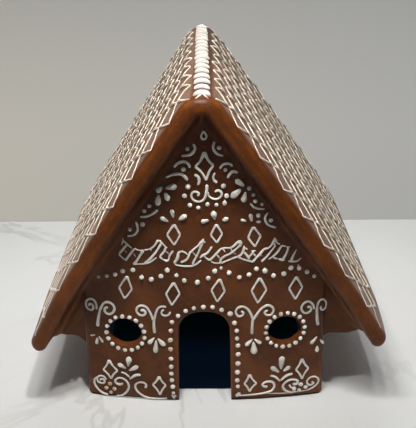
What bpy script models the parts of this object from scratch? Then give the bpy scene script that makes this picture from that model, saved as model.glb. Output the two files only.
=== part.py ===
"""Gingerbread house ornament: a hollow glazed clay house with white slip icing on its ridge.

Metres, +Z up. The house stands on Z = 0, its front looks along -Y and its ridge runs along Y.
"""
import bpy
import bmesh
from math import atan2, cos, hypot, pi, radians, sin

from mathutils import Vector

for item in list(bpy.data.objects):
    bpy.data.objects.remove(item, do_unlink=True)

MM = 0.001

# Roof slab, an upside-down V with fully rounded rims
TIP_X = 118.25 * MM
ROOF_DEPTH = 232.5 * MM
SLAB_HALF = 7.2 * MM
RIDGE_X = -1.5 * MM
RIDGE_LINE_Z = 240.2 * MM
EAVE_Z_LEFT = 68.5 * MM
EAVE_Z_RIGHT = 67.5 * MM
RIDGE_ROUND = 14.95 * MM
LIP_HALF = 4.7 * MM
POCKET_DEPTHS = (17.0 * MM, 27.0 * MM)
POCKET_HALVES = (10.4 * MM, 15.0 * MM)
SLOPE_STEPS = 10
MIDDLE_DEPTHS = (45.0 * MM, 62.0 * MM, 130.0 * MM)

# Hand-made unevenness of the roof
RIDGE_LEAN = -2.6 * MM
FLARE_RIGHT = 2.9 * MM
SWELL_LEFT = 1.9 * MM
TIP_DROOP_LEFT = Vector((1.0, -4.4)) * MM
TIP_DROOP_RIGHT = Vector((-1.3, -0.9)) * MM

# Eave boxes under the slab, set back behind both rims
WEB_SETBACK = 27.0 * MM
SOFFIT_Z_LEFT = 54.4 * MM
SOFFIT_Z_RIGHT = 55.5 * MM
FILLET_LEFT = 12.0 * MM
FILLET_RIGHT = 5.0 * MM

# Walls, bowed outwards at the front and at the back
WALL_X = -2.1 * MM
WALL_HALF_FOOT = 90.3 * MM
WALL_HALF_HIGH = 86.4 * MM
WALL_HIGH_Z = 89.0 * MM
WALL_RECESS = 15.3 * MM
WALL_BOW = 7.7 * MM
WALL_CORNER = 3.6 * MM
WALL_THICK = 5.0 * MM
FOOT_INSET = 1.0 * MM
FOOT_HEIGHT = 2.0 * MM

# Hollow
SHELL = 6.2 * MM
HOLLOW_TOP_Z = 232.0 * MM
ATTIC_FLOOR_Z = 63.0 * MM

# Door and round windows in the front wall
DOOR_X = -1.95 * MM
DOOR_HALF_FOOT = 20.3 * MM
DOOR_HALF_SPRING = 18.3 * MM
DOOR_SPRING_Z = 64.2 * MM
WINDOW_R = 11.8 * MM
WINDOWS = {"left": (-59.3 * MM, 62.5 * MM), "right": (56.0 * MM, 64.0 * MM)}

# Icing dabs along the ridge
DAB_COUNT = 17
DAB_FIRST = 7.7 * MM
DAB_STEP = 13.3 * MM
DAB_WIDTH = 10.6 * MM
DAB_LENGTH = 8.6 * MM
DAB_THICK = 2.3 * MM
DAB_GAP = 0.3 * MM

FRONT_Y = -ROOF_DEPTH / 2
APEX = Vector((RIDGE_X, RIDGE_LINE_Z))
TIP_LEFT = Vector((-TIP_X, EAVE_Z_LEFT))
TIP_RIGHT = Vector((TIP_X, EAVE_Z_RIGHT))
UP_LEFT = (APEX - TIP_LEFT).normalized()
UP_RIGHT = (APEX - TIP_RIGHT).normalized()
OUT_LEFT = Vector((-UP_LEFT.y, UP_LEFT.x))
OUT_RIGHT = Vector((UP_RIGHT.y, -UP_RIGHT.x))
RIDGE_CORE = RIDGE_ROUND - SLAB_HALF


def crossing(offset):
    """Point where the two slope lines meet after both move outwards by offset."""
    a = TIP_LEFT + OUT_LEFT * offset
    b = TIP_RIGHT + OUT_RIGHT * offset
    gap = b - a
    cross = UP_LEFT.x * UP_RIGHT.y - UP_LEFT.y * UP_RIGHT.x
    along = (gap.x * UP_RIGHT.y - gap.y * UP_RIGHT.x) / cross
    return a + UP_LEFT * along


RIDGE_CENTRE = crossing(-RIDGE_CORE)


def arc(centre, radius, start, stop, steps):
    """Points of an arc in the XZ plane, both ends included."""
    turn = [start + (stop - start) * i / steps for i in range(steps + 1)]
    return [centre + Vector((cos(t), sin(t))) * radius for t in turn]


def between(value, stops):
    """Piecewise straight graph through (value, result) stops."""
    if value <= stops[0][0]:
        return stops[0][1]
    for (low, first), (high, last) in zip(stops, stops[1:]):
        if value <= high:
            return first + (last - first) * (value - low) / (high - low)
    return stops[-1][1]


def shaped(point, depth):
    """Roof section point moved to the leaning, swollen and flared shape it has at a depth from the front."""
    right = point.x > RIDGE_CENTRE.x
    tip, up, out = (TIP_RIGHT, UP_RIGHT, OUT_RIGHT) if right else (TIP_LEFT, UP_LEFT, OUT_LEFT)
    share = (APEX - point).dot(up) / (APEX - tip).length
    share = min(max((share - 0.03) / 0.97, 0.0), 1.0)
    moved = Vector((RIDGE_LEAN * depth / ROOF_DEPTH * (1 - share) ** 3, 0.0))
    low = max(share - 0.79, 0.0) / 0.21
    droop = low * low * (3.0 - 2.0 * low)
    if right:
        rise = between(depth, ((0.0, 0.3), (17.0 * MM, 0.8), (45.0 * MM, 1.0)))
        moved += out * FLARE_RIGHT * rise * sin(pi / 2 * min(share / 0.75, 1.0))
        moved += TIP_DROOP_RIGHT * droop * between(depth, ((10.0 * MM, 1.0), (45.0 * MM, 0.0)))
    else:
        rise = between(depth, ((0.0, 0.65), (27.0 * MM, 1.0), (ROOF_DEPTH, 0.5)))
        moved += out * SWELL_LEFT * rise * sin(pi * share ** 0.6)
        moved += TIP_DROOP_LEFT * droop * between(depth, ((10.0 * MM, 1.0), (62.0 * MM, 0.3)))
    return point + moved


def stepped(start, stop, steps):
    """Points strictly between two points, evenly spread."""
    return [start.lerp(stop, i / steps) for i in range(1, steps)]


def slab_outline(outer, inner):
    """Section of the roof slab, outer and inner half thickness each its own."""
    left_out = atan2(OUT_LEFT.y, OUT_LEFT.x)
    right_out = atan2(OUT_RIGHT.y, OUT_RIGHT.x)
    points = []
    cap = 8
    for i in range(cap + 1):
        share = i / cap
        angle = left_out + pi * (1 - share)
        reach = inner + (outer - inner) * min(1.0, 2.0 * share)
        points.append(TIP_LEFT + Vector((cos(angle), sin(angle))) * reach)
    crown = arc(RIDGE_CENTRE, RIDGE_CORE + outer, left_out, right_out, 12)
    points += stepped(points[-1], crown[0], SLOPE_STEPS)
    points += crown
    points += stepped(crown[-1], TIP_RIGHT + OUT_RIGHT * outer, SLOPE_STEPS)
    for i in range(cap + 1):
        share = i / cap
        angle = right_out - pi * share
        reach = inner + (outer - inner) * min(1.0, 2.0 * (1 - share))
        points.append(TIP_RIGHT + Vector((cos(angle), sin(angle))) * reach)
    fillet = max(RIDGE_CORE - inner, 1.0 * MM)
    hollow = arc(crossing(-inner - fillet), fillet, right_out, left_out, 4)
    points += stepped(points[-1], hollow[0], SLOPE_STEPS)
    points += hollow
    points += stepped(hollow[-1], points[0], SLOPE_STEPS)
    return points


def new_object(name, bm, material, sharp=35.0):
    """Object from a bmesh, outward faces, smooth where it is round."""
    bmesh.ops.recalc_face_normals(bm, faces=bm.faces)
    mesh = bpy.data.meshes.new(name)
    bm.to_mesh(mesh)
    bm.free()
    mesh.shade_smooth()
    mesh.set_sharp_from_angle(angle=radians(sharp))
    obj = bpy.data.objects.new(name, mesh)
    bpy.context.collection.objects.link(obj)
    if material is not None:
        mesh.materials.append(material)
    return obj


def loft(rings):
    """Closed bmesh through rings of points that all have the same count."""
    bm = bmesh.new()
    rows = [[bm.verts.new(point) for point in ring] for ring in rings]
    count = len(rows[0])
    for low, high in zip(rows, rows[1:]):
        for i in range(count):
            j = (i + 1) % count
            bm.faces.new((low[i], low[j], high[j], high[i]))
    bm.faces.new(rows[0])
    bm.faces.new(rows[-1])
    return bm


def prism(section, start_y, stop_y):
    """Closed bmesh of an XZ section pushed along Y."""
    return loft([[Vector((p.x, y, p.y)) for p in section] for y in (start_y, stop_y)])


def material(name, color, roughness):
    """Principled material with one colour."""
    mat = bpy.data.materials.new(name)
    mat.use_nodes = True
    node = mat.node_tree.nodes["Principled BSDF"]
    node.inputs["Base Color"].default_value = (*color, 1.0)
    node.inputs["Roughness"].default_value = roughness
    node.inputs["Metallic"].default_value = 0.0
    return mat


CLAY = material("glazed_clay", (0.085, 0.032, 0.014), 0.28)
ICING = material("icing_slip", (0.78, 0.74, 0.66), 0.32)


def ring_at(depth, section):
    """Section in the XZ plane placed at its depth and given the shape it has there."""
    return [Vector((p.x, FRONT_Y + depth, p.y)) for p in (shaped(point, depth) for point in section)]


def roof_slab():
    """The roof slab with a rounded rim at each end and a drafted pocket inside."""
    levels = []
    for step in range(6):
        angle = radians(15.0 + 15.0 * step)
        levels.append((SLAB_HALF * (1 - cos(angle)), SLAB_HALF * sin(angle), LIP_HALF * sin(angle)))
    first = levels[0][0]
    levels = [(depth - first, outer, inner) for depth, outer, inner in levels]
    levels += [(depth, SLAB_HALF, half) for depth, half in zip(POCKET_DEPTHS, POCKET_HALVES)]
    rings = [ring_at(depth, slab_outline(outer, inner)) for depth, outer, inner in levels]
    rings += [ring_at(depth, slab_outline(SLAB_HALF, POCKET_HALVES[-1])) for depth in MIDDLE_DEPTHS]
    for depth, outer, inner in reversed(levels):
        rings.append(ring_at(ROOF_DEPTH - depth, slab_outline(outer, inner)))
    return loft(rings)


def eave_ring(depth):
    """Closed section between the slab's middle line and the soffit."""
    wall = WALL_HALF_HIGH + 1.5 * MM
    tip_right = shaped(TIP_RIGHT, depth)
    tip_left = shaped(TIP_LEFT, depth)
    points = [shaped(APEX, depth) - Vector((0.0, 3.0 * MM))]
    points.append(tip_right)
    points.append(tip_right + Vector((-1.5 * MM, -6.0 * MM)))
    points.append(tip_right + Vector((-6.5 * MM, -9.6 * MM)))
    points.append(Vector((tip_right.x - 15.5 * MM, SOFFIT_Z_RIGHT)))
    right = arc(Vector((WALL_X + wall + FILLET_RIGHT, SOFFIT_Z_RIGHT - FILLET_RIGHT)),
                FILLET_RIGHT, pi / 2, pi, 4)
    left = arc(Vector((WALL_X - wall - FILLET_LEFT, SOFFIT_Z_LEFT - FILLET_LEFT)),
               FILLET_LEFT, 0.0, pi / 2, 5)
    points += right
    points.append(right[-1] + Vector((-4.0 * MM, 0.0)))
    points.append(left[0] + Vector((4.0 * MM, 0.0)))
    points += left
    points.append(Vector((tip_left.x + 12.5 * MM, SOFFIT_Z_LEFT)))
    points.append(tip_left + Vector((6.0 * MM, -9.4 * MM)))
    points.append(tip_left + Vector((1.5 * MM, -6.0 * MM)))
    points.append(tip_left)
    return [Vector((p.x, FRONT_Y + depth, p.y)) for p in points]


def wall_ring(z, inset):
    """Plan outline of the walls at height z, bowed front and back, moved in by inset."""
    half = WALL_HALF_FOOT - (WALL_HALF_FOOT - WALL_HALF_HIGH) * z / WALL_HIGH_Z
    steps = 16
    round_r = max(WALL_CORNER - inset, 0.8 * MM)
    reach = half - inset

    def face(x):
        bow = WALL_BOW * (x / WALL_HALF_FOOT) ** 2
        return FRONT_Y + WALL_RECESS + bow + inset

    flat = reach - round_r
    front = []
    for i in range(steps + 1):
        x = -flat + 2 * flat * i / steps
        front.append((x, face(x)))
    corner_y = front[-1][1] + round_r
    for i in range(1, 4):
        angle = -pi / 2 + (pi / 2) * i / 3
        front.append((flat + round_r * cos(angle), corner_y + round_r * sin(angle)))
    for i in range(1, 4):
        angle = -pi / 2 - (pi / 2) * i / 3
        front.insert(0, (-flat + round_r * cos(angle), corner_y + round_r * sin(angle)))
    ring = [(x, y) for x, y in front] + [(x, -y) for x, y in reversed(front)]
    return [Vector((WALL_X + x, y, z)) for x, y in ring]


def under_roof(offset, top, low, half_low):
    """Section below the slope lines moved by offset, flat on top, for trimming."""
    left = TIP_LEFT + OUT_LEFT * offset
    right = TIP_RIGHT + OUT_RIGHT * offset

    def on_left(z):
        return Vector((left.x + UP_LEFT.x * (z - left.y) / UP_LEFT.y, z))

    def on_right(z):
        return Vector((right.x + UP_RIGHT.x * (z - right.y) / UP_RIGHT.y, z))

    knee = 84.0 * MM
    return [Vector((-half_low, low)), Vector((half_low, low)), on_right(knee), on_right(top),
            on_left(top), on_left(knee)]


def hidden(obj):
    """Mark a cutter or a guide."""
    obj.hide_render = True
    obj.display_type = "WIRE"
    return obj


def boolean(obj, name, operation, other):
    """Add a Boolean modifier."""
    mod = obj.modifiers.new(name, "BOOLEAN")
    mod.operation = operation
    mod.solver = "EXACT"
    mod.object = other
    return mod


def door_cutter():
    """Arched opening, slightly narrower at the spring of its arch."""
    points = [Vector((DOOR_X - DOOR_HALF_FOOT, -5.0 * MM)),
              Vector((DOOR_X + DOOR_HALF_FOOT, -5.0 * MM))]
    points += arc(Vector((DOOR_X, DOOR_SPRING_Z)), DOOR_HALF_SPRING, 0.0, pi, 20)
    return prism(points, FRONT_Y + 5.0 * MM, FRONT_Y + 40.0 * MM)


def window_cutter(x, z):
    """Round opening through the front wall."""
    points = arc(Vector((x, z)), WINDOW_R, 0.0, 2 * pi, 28)[:-1]
    return prism(points, FRONT_Y + 5.0 * MM, FRONT_Y + 45.0 * MM)


def build_house():
    """The one-piece hollow house."""
    house = new_object("house", roof_slab(), CLAY)

    depths = (WEB_SETBACK,) + MIDDLE_DEPTHS + (ROOF_DEPTH - WEB_SETBACK,)
    eaves = hidden(new_object("eave_box", loft([eave_ring(depth) for depth in depths]), CLAY))

    rings = [wall_ring(0.0, FOOT_INSET), wall_ring(FOOT_HEIGHT, FOOT_INSET), wall_ring(FOOT_HEIGHT, 0.0)]
    rings += [wall_ring(WALL_HIGH_Z, 0.0), wall_ring(RIDGE_LINE_Z + 10.0 * MM, 0.0)]
    walls = hidden(new_object("wall_block", loft(rings), CLAY))
    trim = prism(under_roof(-1.5 * MM, HOLLOW_TOP_Z, -20.0 * MM, 140.0 * MM), FRONT_Y, -FRONT_Y)
    trim = hidden(new_object("wall_trim", trim, None))
    boolean(walls, "under_the_roof", "INTERSECT", trim)

    inner = [wall_ring(-10.0 * MM, WALL_THICK), wall_ring(RIDGE_LINE_Z, WALL_THICK)]
    room = hidden(new_object("room_hollow", loft(inner), CLAY))
    offset = SLAB_HALF - SHELL
    room_trim = under_roof(offset, HOLLOW_TOP_Z, -20.0 * MM, 140.0 * MM)
    room_trim = hidden(new_object("room_trim", prism(room_trim, FRONT_Y, -FRONT_Y), None))
    boolean(room, "below_the_slab", "INTERSECT", room_trim)

    half_floor = TIP_X - 14.0 * MM
    attic = under_roof(offset, HOLLOW_TOP_Z - 0.7 * MM, ATTIC_FLOOR_Z, half_floor)
    reach = WEB_SETBACK + WALL_THICK
    attic = hidden(new_object("attic_hollow", prism(attic, FRONT_Y + reach, -FRONT_Y - reach), CLAY))

    boolean(house, "add_eaves", "UNION", eaves)
    boolean(house, "add_walls", "UNION", walls)
    boolean(house, "clear_room", "DIFFERENCE", room)
    boolean(house, "clear_attic", "DIFFERENCE", attic)
    boolean(house, "cut_door", "DIFFERENCE", hidden(new_object("door_cut", door_cutter(), CLAY)))
    for side, (x, z) in WINDOWS.items():
        cutter = hidden(new_object("window_cut_" + side, window_cutter(x, z), CLAY))
        boolean(house, "cut_window_" + side, "DIFFERENCE", cutter)
    return house


def dab_mesh():
    """One half-moon dab of icing, draped over the round ridge, its straight side to the front."""
    bm = bmesh.new()
    around = 18
    base = RIDGE_ROUND + DAB_GAP
    half = DAB_WIDTH / 2

    def footprint(i):
        angle = 2 * pi * i / around
        x = half * cos(angle)
        if sin(angle) >= 0:
            y = DAB_LENGTH * 0.62 * sin(angle) ** 0.9
        else:
            y = -DAB_LENGTH * 0.38 * (-sin(angle)) ** 0.6
        return x, y

    def point(x, y, lift):
        turn = x / base
        radius = base + lift
        return Vector((radius * sin(turn), y, radius * cos(turn)))

    shares = (1.0, 0.98, 0.8, 0.5)
    lifts = (0.0, 0.35, 0.8, 0.96)
    top_rows = []
    for share, lift in zip(shares, lifts):
        row = []
        for i in range(around):
            x, y = footprint(i)
            row.append(bm.verts.new(point(x * share, y * share, DAB_THICK * lift)))
        top_rows.append(row)
    low_row = [bm.verts.new(point(*(0.55 * c for c in footprint(i)), 0.0)) for i in range(around)]
    rows = [low_row] + top_rows
    for low, high in zip(rows, rows[1:]):
        for i in range(around):
            j = (i + 1) % around
            bm.faces.new((low[i], low[j], high[j], high[i]))
    crown = bm.verts.new(point(0.0, 0.0, DAB_THICK))
    seat = bm.verts.new(point(0.0, 0.0, 0.0))
    for i in range(around):
        j = (i + 1) % around
        bm.faces.new((rows[-1][i], rows[-1][j], crown))
        bm.faces.new((low_row[j], low_row[i], seat))
    return bm


def build_dabs():
    """The row of icing dabs along the ridge."""
    first = new_object("ridge_dab_01", dab_mesh(), ICING, 50.0)
    dabs = [first]
    for number in range(2, DAB_COUNT + 1):
        dab = bpy.data.objects.new("ridge_dab_%02d" % number, first.data)
        bpy.context.collection.objects.link(dab)
        dabs.append(dab)
    for index, dab in enumerate(dabs):
        depth = DAB_FIRST + DAB_STEP * index
        x = RIDGE_CENTRE.x + RIDGE_LEAN * depth / ROOF_DEPTH
        dab.location = (x, FRONT_Y + depth, RIDGE_CENTRE.y)
    return dabs


build_house()
build_dabs()
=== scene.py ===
"""Looks of a gingerbread house ornament: glazed brown clay with raised white icing lines.

Sizes are in millimetres up to the point where a mesh is made, then in metres. The house looks
towards -Y, its ridge runs along Y, and it stands on Z = 0.
"""
from math import acos, asin, atan2, cos, hypot, pi, radians, sin, sqrt

import bmesh
import bpy
from mathutils import Matrix, Vector, noise


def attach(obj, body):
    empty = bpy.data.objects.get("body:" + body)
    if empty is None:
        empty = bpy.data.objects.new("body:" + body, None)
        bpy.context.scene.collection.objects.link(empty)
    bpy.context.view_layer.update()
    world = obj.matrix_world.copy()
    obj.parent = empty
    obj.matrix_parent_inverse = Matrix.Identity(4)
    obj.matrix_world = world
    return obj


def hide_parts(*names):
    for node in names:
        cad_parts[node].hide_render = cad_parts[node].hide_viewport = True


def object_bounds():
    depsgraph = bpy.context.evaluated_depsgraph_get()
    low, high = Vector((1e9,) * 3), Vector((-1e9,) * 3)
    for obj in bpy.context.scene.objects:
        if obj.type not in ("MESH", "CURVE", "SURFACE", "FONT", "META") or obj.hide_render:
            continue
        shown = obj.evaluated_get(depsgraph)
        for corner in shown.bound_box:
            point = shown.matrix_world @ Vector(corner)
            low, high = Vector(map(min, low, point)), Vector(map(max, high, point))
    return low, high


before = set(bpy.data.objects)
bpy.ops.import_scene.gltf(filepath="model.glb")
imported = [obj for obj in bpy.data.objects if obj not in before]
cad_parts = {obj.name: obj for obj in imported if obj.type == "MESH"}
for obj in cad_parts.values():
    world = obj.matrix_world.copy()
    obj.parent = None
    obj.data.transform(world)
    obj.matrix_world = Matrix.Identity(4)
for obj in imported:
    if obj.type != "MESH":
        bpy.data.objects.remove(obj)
cad_box = [list(corner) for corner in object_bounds()]

MM = 0.001

# House, the same named sizes as its solids
TIP_X = 118.25
ROOF_DEPTH = 232.5
SLAB_HALF = 7.2
RIDGE_X = -1.5
RIDGE_LINE_Z = 240.2
EAVE_Z = {-1: 68.5, 1: 67.5}
RIDGE_ROUND = 14.95
RIDGE_CORE = RIDGE_ROUND - SLAB_HALF
LIP_HALF = 4.7
RIDGE_LEAN = -2.6
FLARE_RIGHT = 2.9
SWELL_LEFT = 1.9
TIP_DROOP = {-1: Vector((1.0, -4.4)), 1: Vector((-1.3, -0.9))}
WEB_SETBACK = 27.0
SOFFIT_Z = {-1: 54.4, 1: 55.5}
FILLET = {-1: 12.0, 1: 5.0}
WALL_X = -2.1
WALL_HALF_FOOT = 90.3
WALL_HALF_HIGH = 86.4
WALL_HIGH_Z = 89.0
WALL_RECESS = 15.3
WALL_BOW = 7.7
WALL_CORNER = 3.6
WALL_THICK = 5.0
FOOT_INSET = 1.0
FOOT_HEIGHT = 2.0
SHELL = 6.2
HOLLOW_TOP_Z = 232.0
ATTIC_FLOOR_Z = 63.0
DOOR_X = -1.95
DOOR_HALF_FOOT = 20.3
DOOR_HALF_SPRING = 18.3
DOOR_SPRING_Z = 64.2
ARCH_POWER = 2.35
WINDOW_R = 11.8
WINDOWS = {"left": (-59.3, 62.5), "right": (56.0, 64.0)}
DAB_COUNT = 17
DAB_FIRST = 7.7
DAB_STEP = 13.3
FRONT_Y = -ROOF_DEPTH / 2
SLACK = 0.05
LOW_X = cad_box[0][0] / MM + SLACK
HIGH_X = cad_box[1][0] / MM - SLACK

# How much of each bend the roof has at a depth, as (depth, share) stops
FLARE_BY_DEPTH = ((0.0, 0.3), (17.0, 0.8), (45.0, 1.0))
SWELL_BY_DEPTH = ((0.0, 0.65), (27.0, 1.0), (ROOF_DEPTH, 0.5))
DROOP_BY_DEPTH = {-1: ((10.0, 1.0), (62.0, 0.3)), 1: ((10.0, 1.0), (45.0, 0.0))}
DROOP_START = 0.79
RIDGE_CALM = 0.03

# ---------------------------------------------------------------- slopes and walls as surfaces

RIDGE = Vector((RIDGE_X, RIDGE_LINE_Z))
TIP = {side: Vector((side * TIP_X, EAVE_Z[side])) for side in (-1, 1)}
UP = {side: (RIDGE - TIP[side]).normalized() for side in (-1, 1)}
OUT = {side: Vector((side * abs(UP[side].y), abs(UP[side].x))) for side in (-1, 1)}


def crossing(offset):
    """Point where both slope lines meet after they move outwards by offset."""
    a = TIP[-1] + OUT[-1] * offset
    b = TIP[1] + OUT[1] * offset
    gap = b - a
    cross = UP[-1].x * UP[1].y - UP[-1].y * UP[1].x
    return a + UP[-1] * ((gap.x * UP[1].y - gap.y * UP[1].x) / cross)


RIDGE_CENTRE = crossing(-RIDGE_CORE)


def graph(value, stops):
    """Piecewise straight graph through (value, result) stops."""
    if value <= stops[0][0]:
        return stops[0][1]
    for (low, first), (high, last) in zip(stops, stops[1:]):
        if value <= high:
            return first + (last - first) * (value - low) / (high - low)
    return stops[-1][1]


def shaped(point, depth):
    """Roof section point moved to the leaning, swollen and flared shape it has at a depth."""
    side = 1 if point.x > RIDGE_CENTRE.x else -1
    share = (RIDGE - point).dot(UP[side]) / (RIDGE - TIP[side]).length
    share = min(max((share - RIDGE_CALM) / (1 - RIDGE_CALM), 0.0), 1.0)
    change = Vector((RIDGE_LEAN * depth / ROOF_DEPTH * (1 - share) ** 3, 0.0))
    low = max(share - DROOP_START, 0.0) / (1 - DROOP_START)
    droop = low * low * (3.0 - 2.0 * low)
    if side > 0:
        bend = FLARE_RIGHT * graph(depth, FLARE_BY_DEPTH) * sin(pi / 2 * min(share / 0.75, 1.0))
    else:
        bend = SWELL_LEFT * graph(depth, SWELL_BY_DEPTH) * sin(pi * share ** 0.6)
    change += OUT[side] * bend
    change += TIP_DROOP[side] * droop * graph(depth, DROOP_BY_DEPTH[side])
    return point + change


def kept_in(x):
    """Keep x within the width of the solids."""
    return max(LOW_X, min(HIGH_X, x))


ARC = {side: RIDGE_ROUND * acos(OUT[side].y) for side in (-1, 1)}
RUN = {side: (RIDGE_CENTRE - TIP[side]).dot(UP[side]) for side in (-1, 1)}


def bow(x):
    """How far the bowed wall falls back at x."""
    return WALL_BOW * ((x - WALL_X) / WALL_HALF_FOOT) ** 2


def wall_half(z):
    """Half the width over the tapering side walls at height z."""
    return WALL_HALF_FOOT - (WALL_HALF_FOOT - WALL_HALF_HIGH) * z / WALL_HIGH_Z


def front_wall(u, v, h):
    """Front wall: u to the right, v up, h out of the wall."""
    return Vector((u, FRONT_Y + WALL_RECESS + bow(u) - h, v))


def back_wall(u, v, h):
    """Back wall: u runs the other way, so it reads from behind."""
    return Vector((-u, -(FRONT_Y + WALL_RECESS + bow(-u) - h), v))


def side_wall(side):
    """Side wall surface: u runs along the depth, v up."""
    def place(u, v, h):
        return Vector((WALL_X + side * (wall_half(v) + h), side * u, v))
    return place


def roof(side):
    """Roof surface: u is the depth from the front rim, v the way down from the ridge top."""
    def place(u, v, h):
        if v < ARC[side]:
            angle = v / RIDGE_ROUND
            out = Vector((side * sin(angle), cos(angle)))
            line = RIDGE_CENTRE + out * RIDGE_CORE
        elif v < ARC[side] + RUN[side]:
            out = OUT[side]
            line = RIDGE_CENTRE + out * RIDGE_CORE - UP[side] * (v - ARC[side])
        else:
            turn = -side * (v - ARC[side] - RUN[side]) / SLAB_HALF
            out = Vector((OUT[side].x * cos(turn) - OUT[side].y * sin(turn),
                          OUT[side].x * sin(turn) + OUT[side].y * cos(turn)))
            line = TIP[side]
        near = min(u, ROOF_DEPTH - u)
        lean = asin(max(0.0, min(1.0, (SLAB_HALF - near) / SLAB_HALF)))
        shift = SLAB_HALF - (SLAB_HALF + h) * sin(lean) if lean > 0 else near
        depth = shift if u < ROOF_DEPTH / 2 else ROOF_DEPTH - shift
        spot = shaped(line + out * (SLAB_HALF + h) * cos(lean), depth)
        return Vector((spot.x, FRONT_Y + depth, spot.y))
    return place


# ---------------------------------------------------------------- node helpers


class Socket:
    """An output socket that can be used in plain arithmetic."""

    def __init__(self, maker, link):
        self.maker = maker
        self.link = link

    def __add__(self, other):
        return self.maker.math("ADD", self, other)

    __radd__ = __add__

    def __sub__(self, other):
        return self.maker.math("SUBTRACT", self, other)

    def __rsub__(self, other):
        return self.maker.math("SUBTRACT", other, self)

    def __mul__(self, other):
        return self.maker.math("MULTIPLY", self, other)

    __rmul__ = __mul__

    def __truediv__(self, other):
        return self.maker.math("DIVIDE", self, other)

    def __pow__(self, other):
        return self.maker.math("POWER", self, other)


class Maker:
    """Adds nodes to a tree by type, settings and socket values."""

    def __init__(self, tree):
        self.tree = tree

    def node(self, kind, settings=None, **sockets):
        """Add one node. A socket is named by its label with _ for a space, or by its number as i0."""
        made = self.tree.nodes.new(kind)
        for name, value in (settings or {}).items():
            setattr(made, name, value)
        for name, value in sockets.items():
            if name[0] == "i" and name[1:].isdigit():
                socket = made.inputs[int(name[1:])]
            else:
                socket = made.inputs[name.replace("_", " ")]
            self.feed(socket, value)
        return made

    def feed(self, socket, value):
        if isinstance(value, Socket):
            value = value.link
        if isinstance(value, bpy.types.NodeSocket):
            self.tree.links.new(value, socket)
        elif socket.type == "RGBA" and len(value) == 3:
            socket.default_value = (*value, 1.0)
        else:
            socket.default_value = value

    def out(self, made, index=0):
        return Socket(self, made.outputs[index])

    def math(self, operation, *values):
        made = self.node("ShaderNodeMath", {"operation": operation})
        for socket, value in zip(made.inputs, values):
            self.feed(socket, value)
        return self.out(made)

    def largest(self, first, *others):
        for other in others:
            first = self.math("MAXIMUM", first, other)
        return first

    def axes(self, vector):
        """The X, Y and Z values of a vector."""
        parts = self.node("ShaderNodeSeparateXYZ", None, Vector=vector)
        return [self.out(parts, i) for i in range(3)]

    def step(self, value, low, high):
        """Smooth step of a value from low to high, falling where low is above high."""
        settings = {"interpolation_type": "SMOOTHSTEP"}
        if low < high:
            made = self.node("ShaderNodeMapRange", settings, i0=value, i1=low, i2=high)
            return self.out(made)
        made = self.node("ShaderNodeMapRange", settings, i0=value, i1=high, i2=low)
        return 1 - self.out(made)

    def blend(self, mask, low, high):
        """Colour that goes from low to high with a mask."""
        made = self.node("ShaderNodeMix", {"data_type": "RGBA"})
        self.feed(made.inputs[0], mask)
        self.feed(made.inputs[6], low)
        self.feed(made.inputs[7], high)
        return self.out(made, 2)

    def noise(self, where, scale, detail=3.0, rough=0.5):
        made = self.node("ShaderNodeTexNoise", None, Vector=where, Scale=scale, Detail=detail,
                         Roughness=rough)
        return self.out(made, 0)


def new_material(name):
    """Material, its node maker, its shader's inputs and the object coordinates."""
    mat = bpy.data.materials.new(name)
    mat.use_nodes = True
    maker = Maker(mat.node_tree)
    shader = mat.node_tree.nodes["Principled BSDF"]
    place = maker.out(maker.node("ShaderNodeTexCoord"), 3)
    return mat, maker, shader.inputs, place


def set_constants(sockets, **values):
    """Set plain values on shader sockets, named with _ for a space."""
    for name, value in values.items():
        sockets[name.replace("_", " ")].default_value = value


def feed_bump(m, sockets, height, strength, distance):
    bump = m.node("ShaderNodeBump", None, Strength=strength, Distance=distance, Height=height)
    m.feed(sockets["Normal"], m.out(bump))


# ---------------------------------------------------------------- materials

BLACK = (0.0, 0.0, 0.0)
GLAZE_DARK = (0.077, 0.0243, 0.0080)
GLAZE_MID = (0.133, 0.0424, 0.0126)
# painted shade high in the gable, under the rim
GLAZE_GABLE_SHADE = (0.061, 0.0172, 0.0042)
GLAZE_THIN = (0.205, 0.056, 0.0070)
# the slopes' clay lightened by a painted grazing sheen
ROOF_CLAY_SHEEN = (0.185, 0.102, 0.063)
FOOT_SHADE = (0.004, 0.004, 0.005)
ICING_WHITE = (0.700, 0.680, 0.630)
ICING_CREAM = (0.620, 0.560, 0.465)
ICING_ROOF = (0.740, 0.625, 0.500)
ICING_WORN = (0.460, 0.240, 0.110)


def roof_offset(m, x, z):
    """Distance outside the middle of the roof slab, as a shader value."""
    start = RIDGE * MM
    return m.largest(*[(x - start.x) * OUT[side].x + (z - start.y) * OUT[side].y for side in (-1, 1)])


def opening_lips(m, x, z):
    """Mask of the rounded lips of both windows and of the door's jambs."""
    lips = []
    for wx, wz in WINDOWS.values():
        away = m.math("SQRT", (x - wx * MM) ** 2.0 + (z - wz * MM) ** 2.0)
        lips.append(m.step(away, (WINDOW_R + 3.2) * MM, (WINDOW_R + 1.0) * MM))
    jamb = m.math("ABSOLUTE", x - DOOR_X * MM)
    jamb = m.step(jamb, (DOOR_HALF_FOOT + 1.6) * MM, (DOOR_HALF_FOOT + 0.2) * MM)
    return m.largest(*lips, jamb * m.step(z, 0.070, 0.060))


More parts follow.
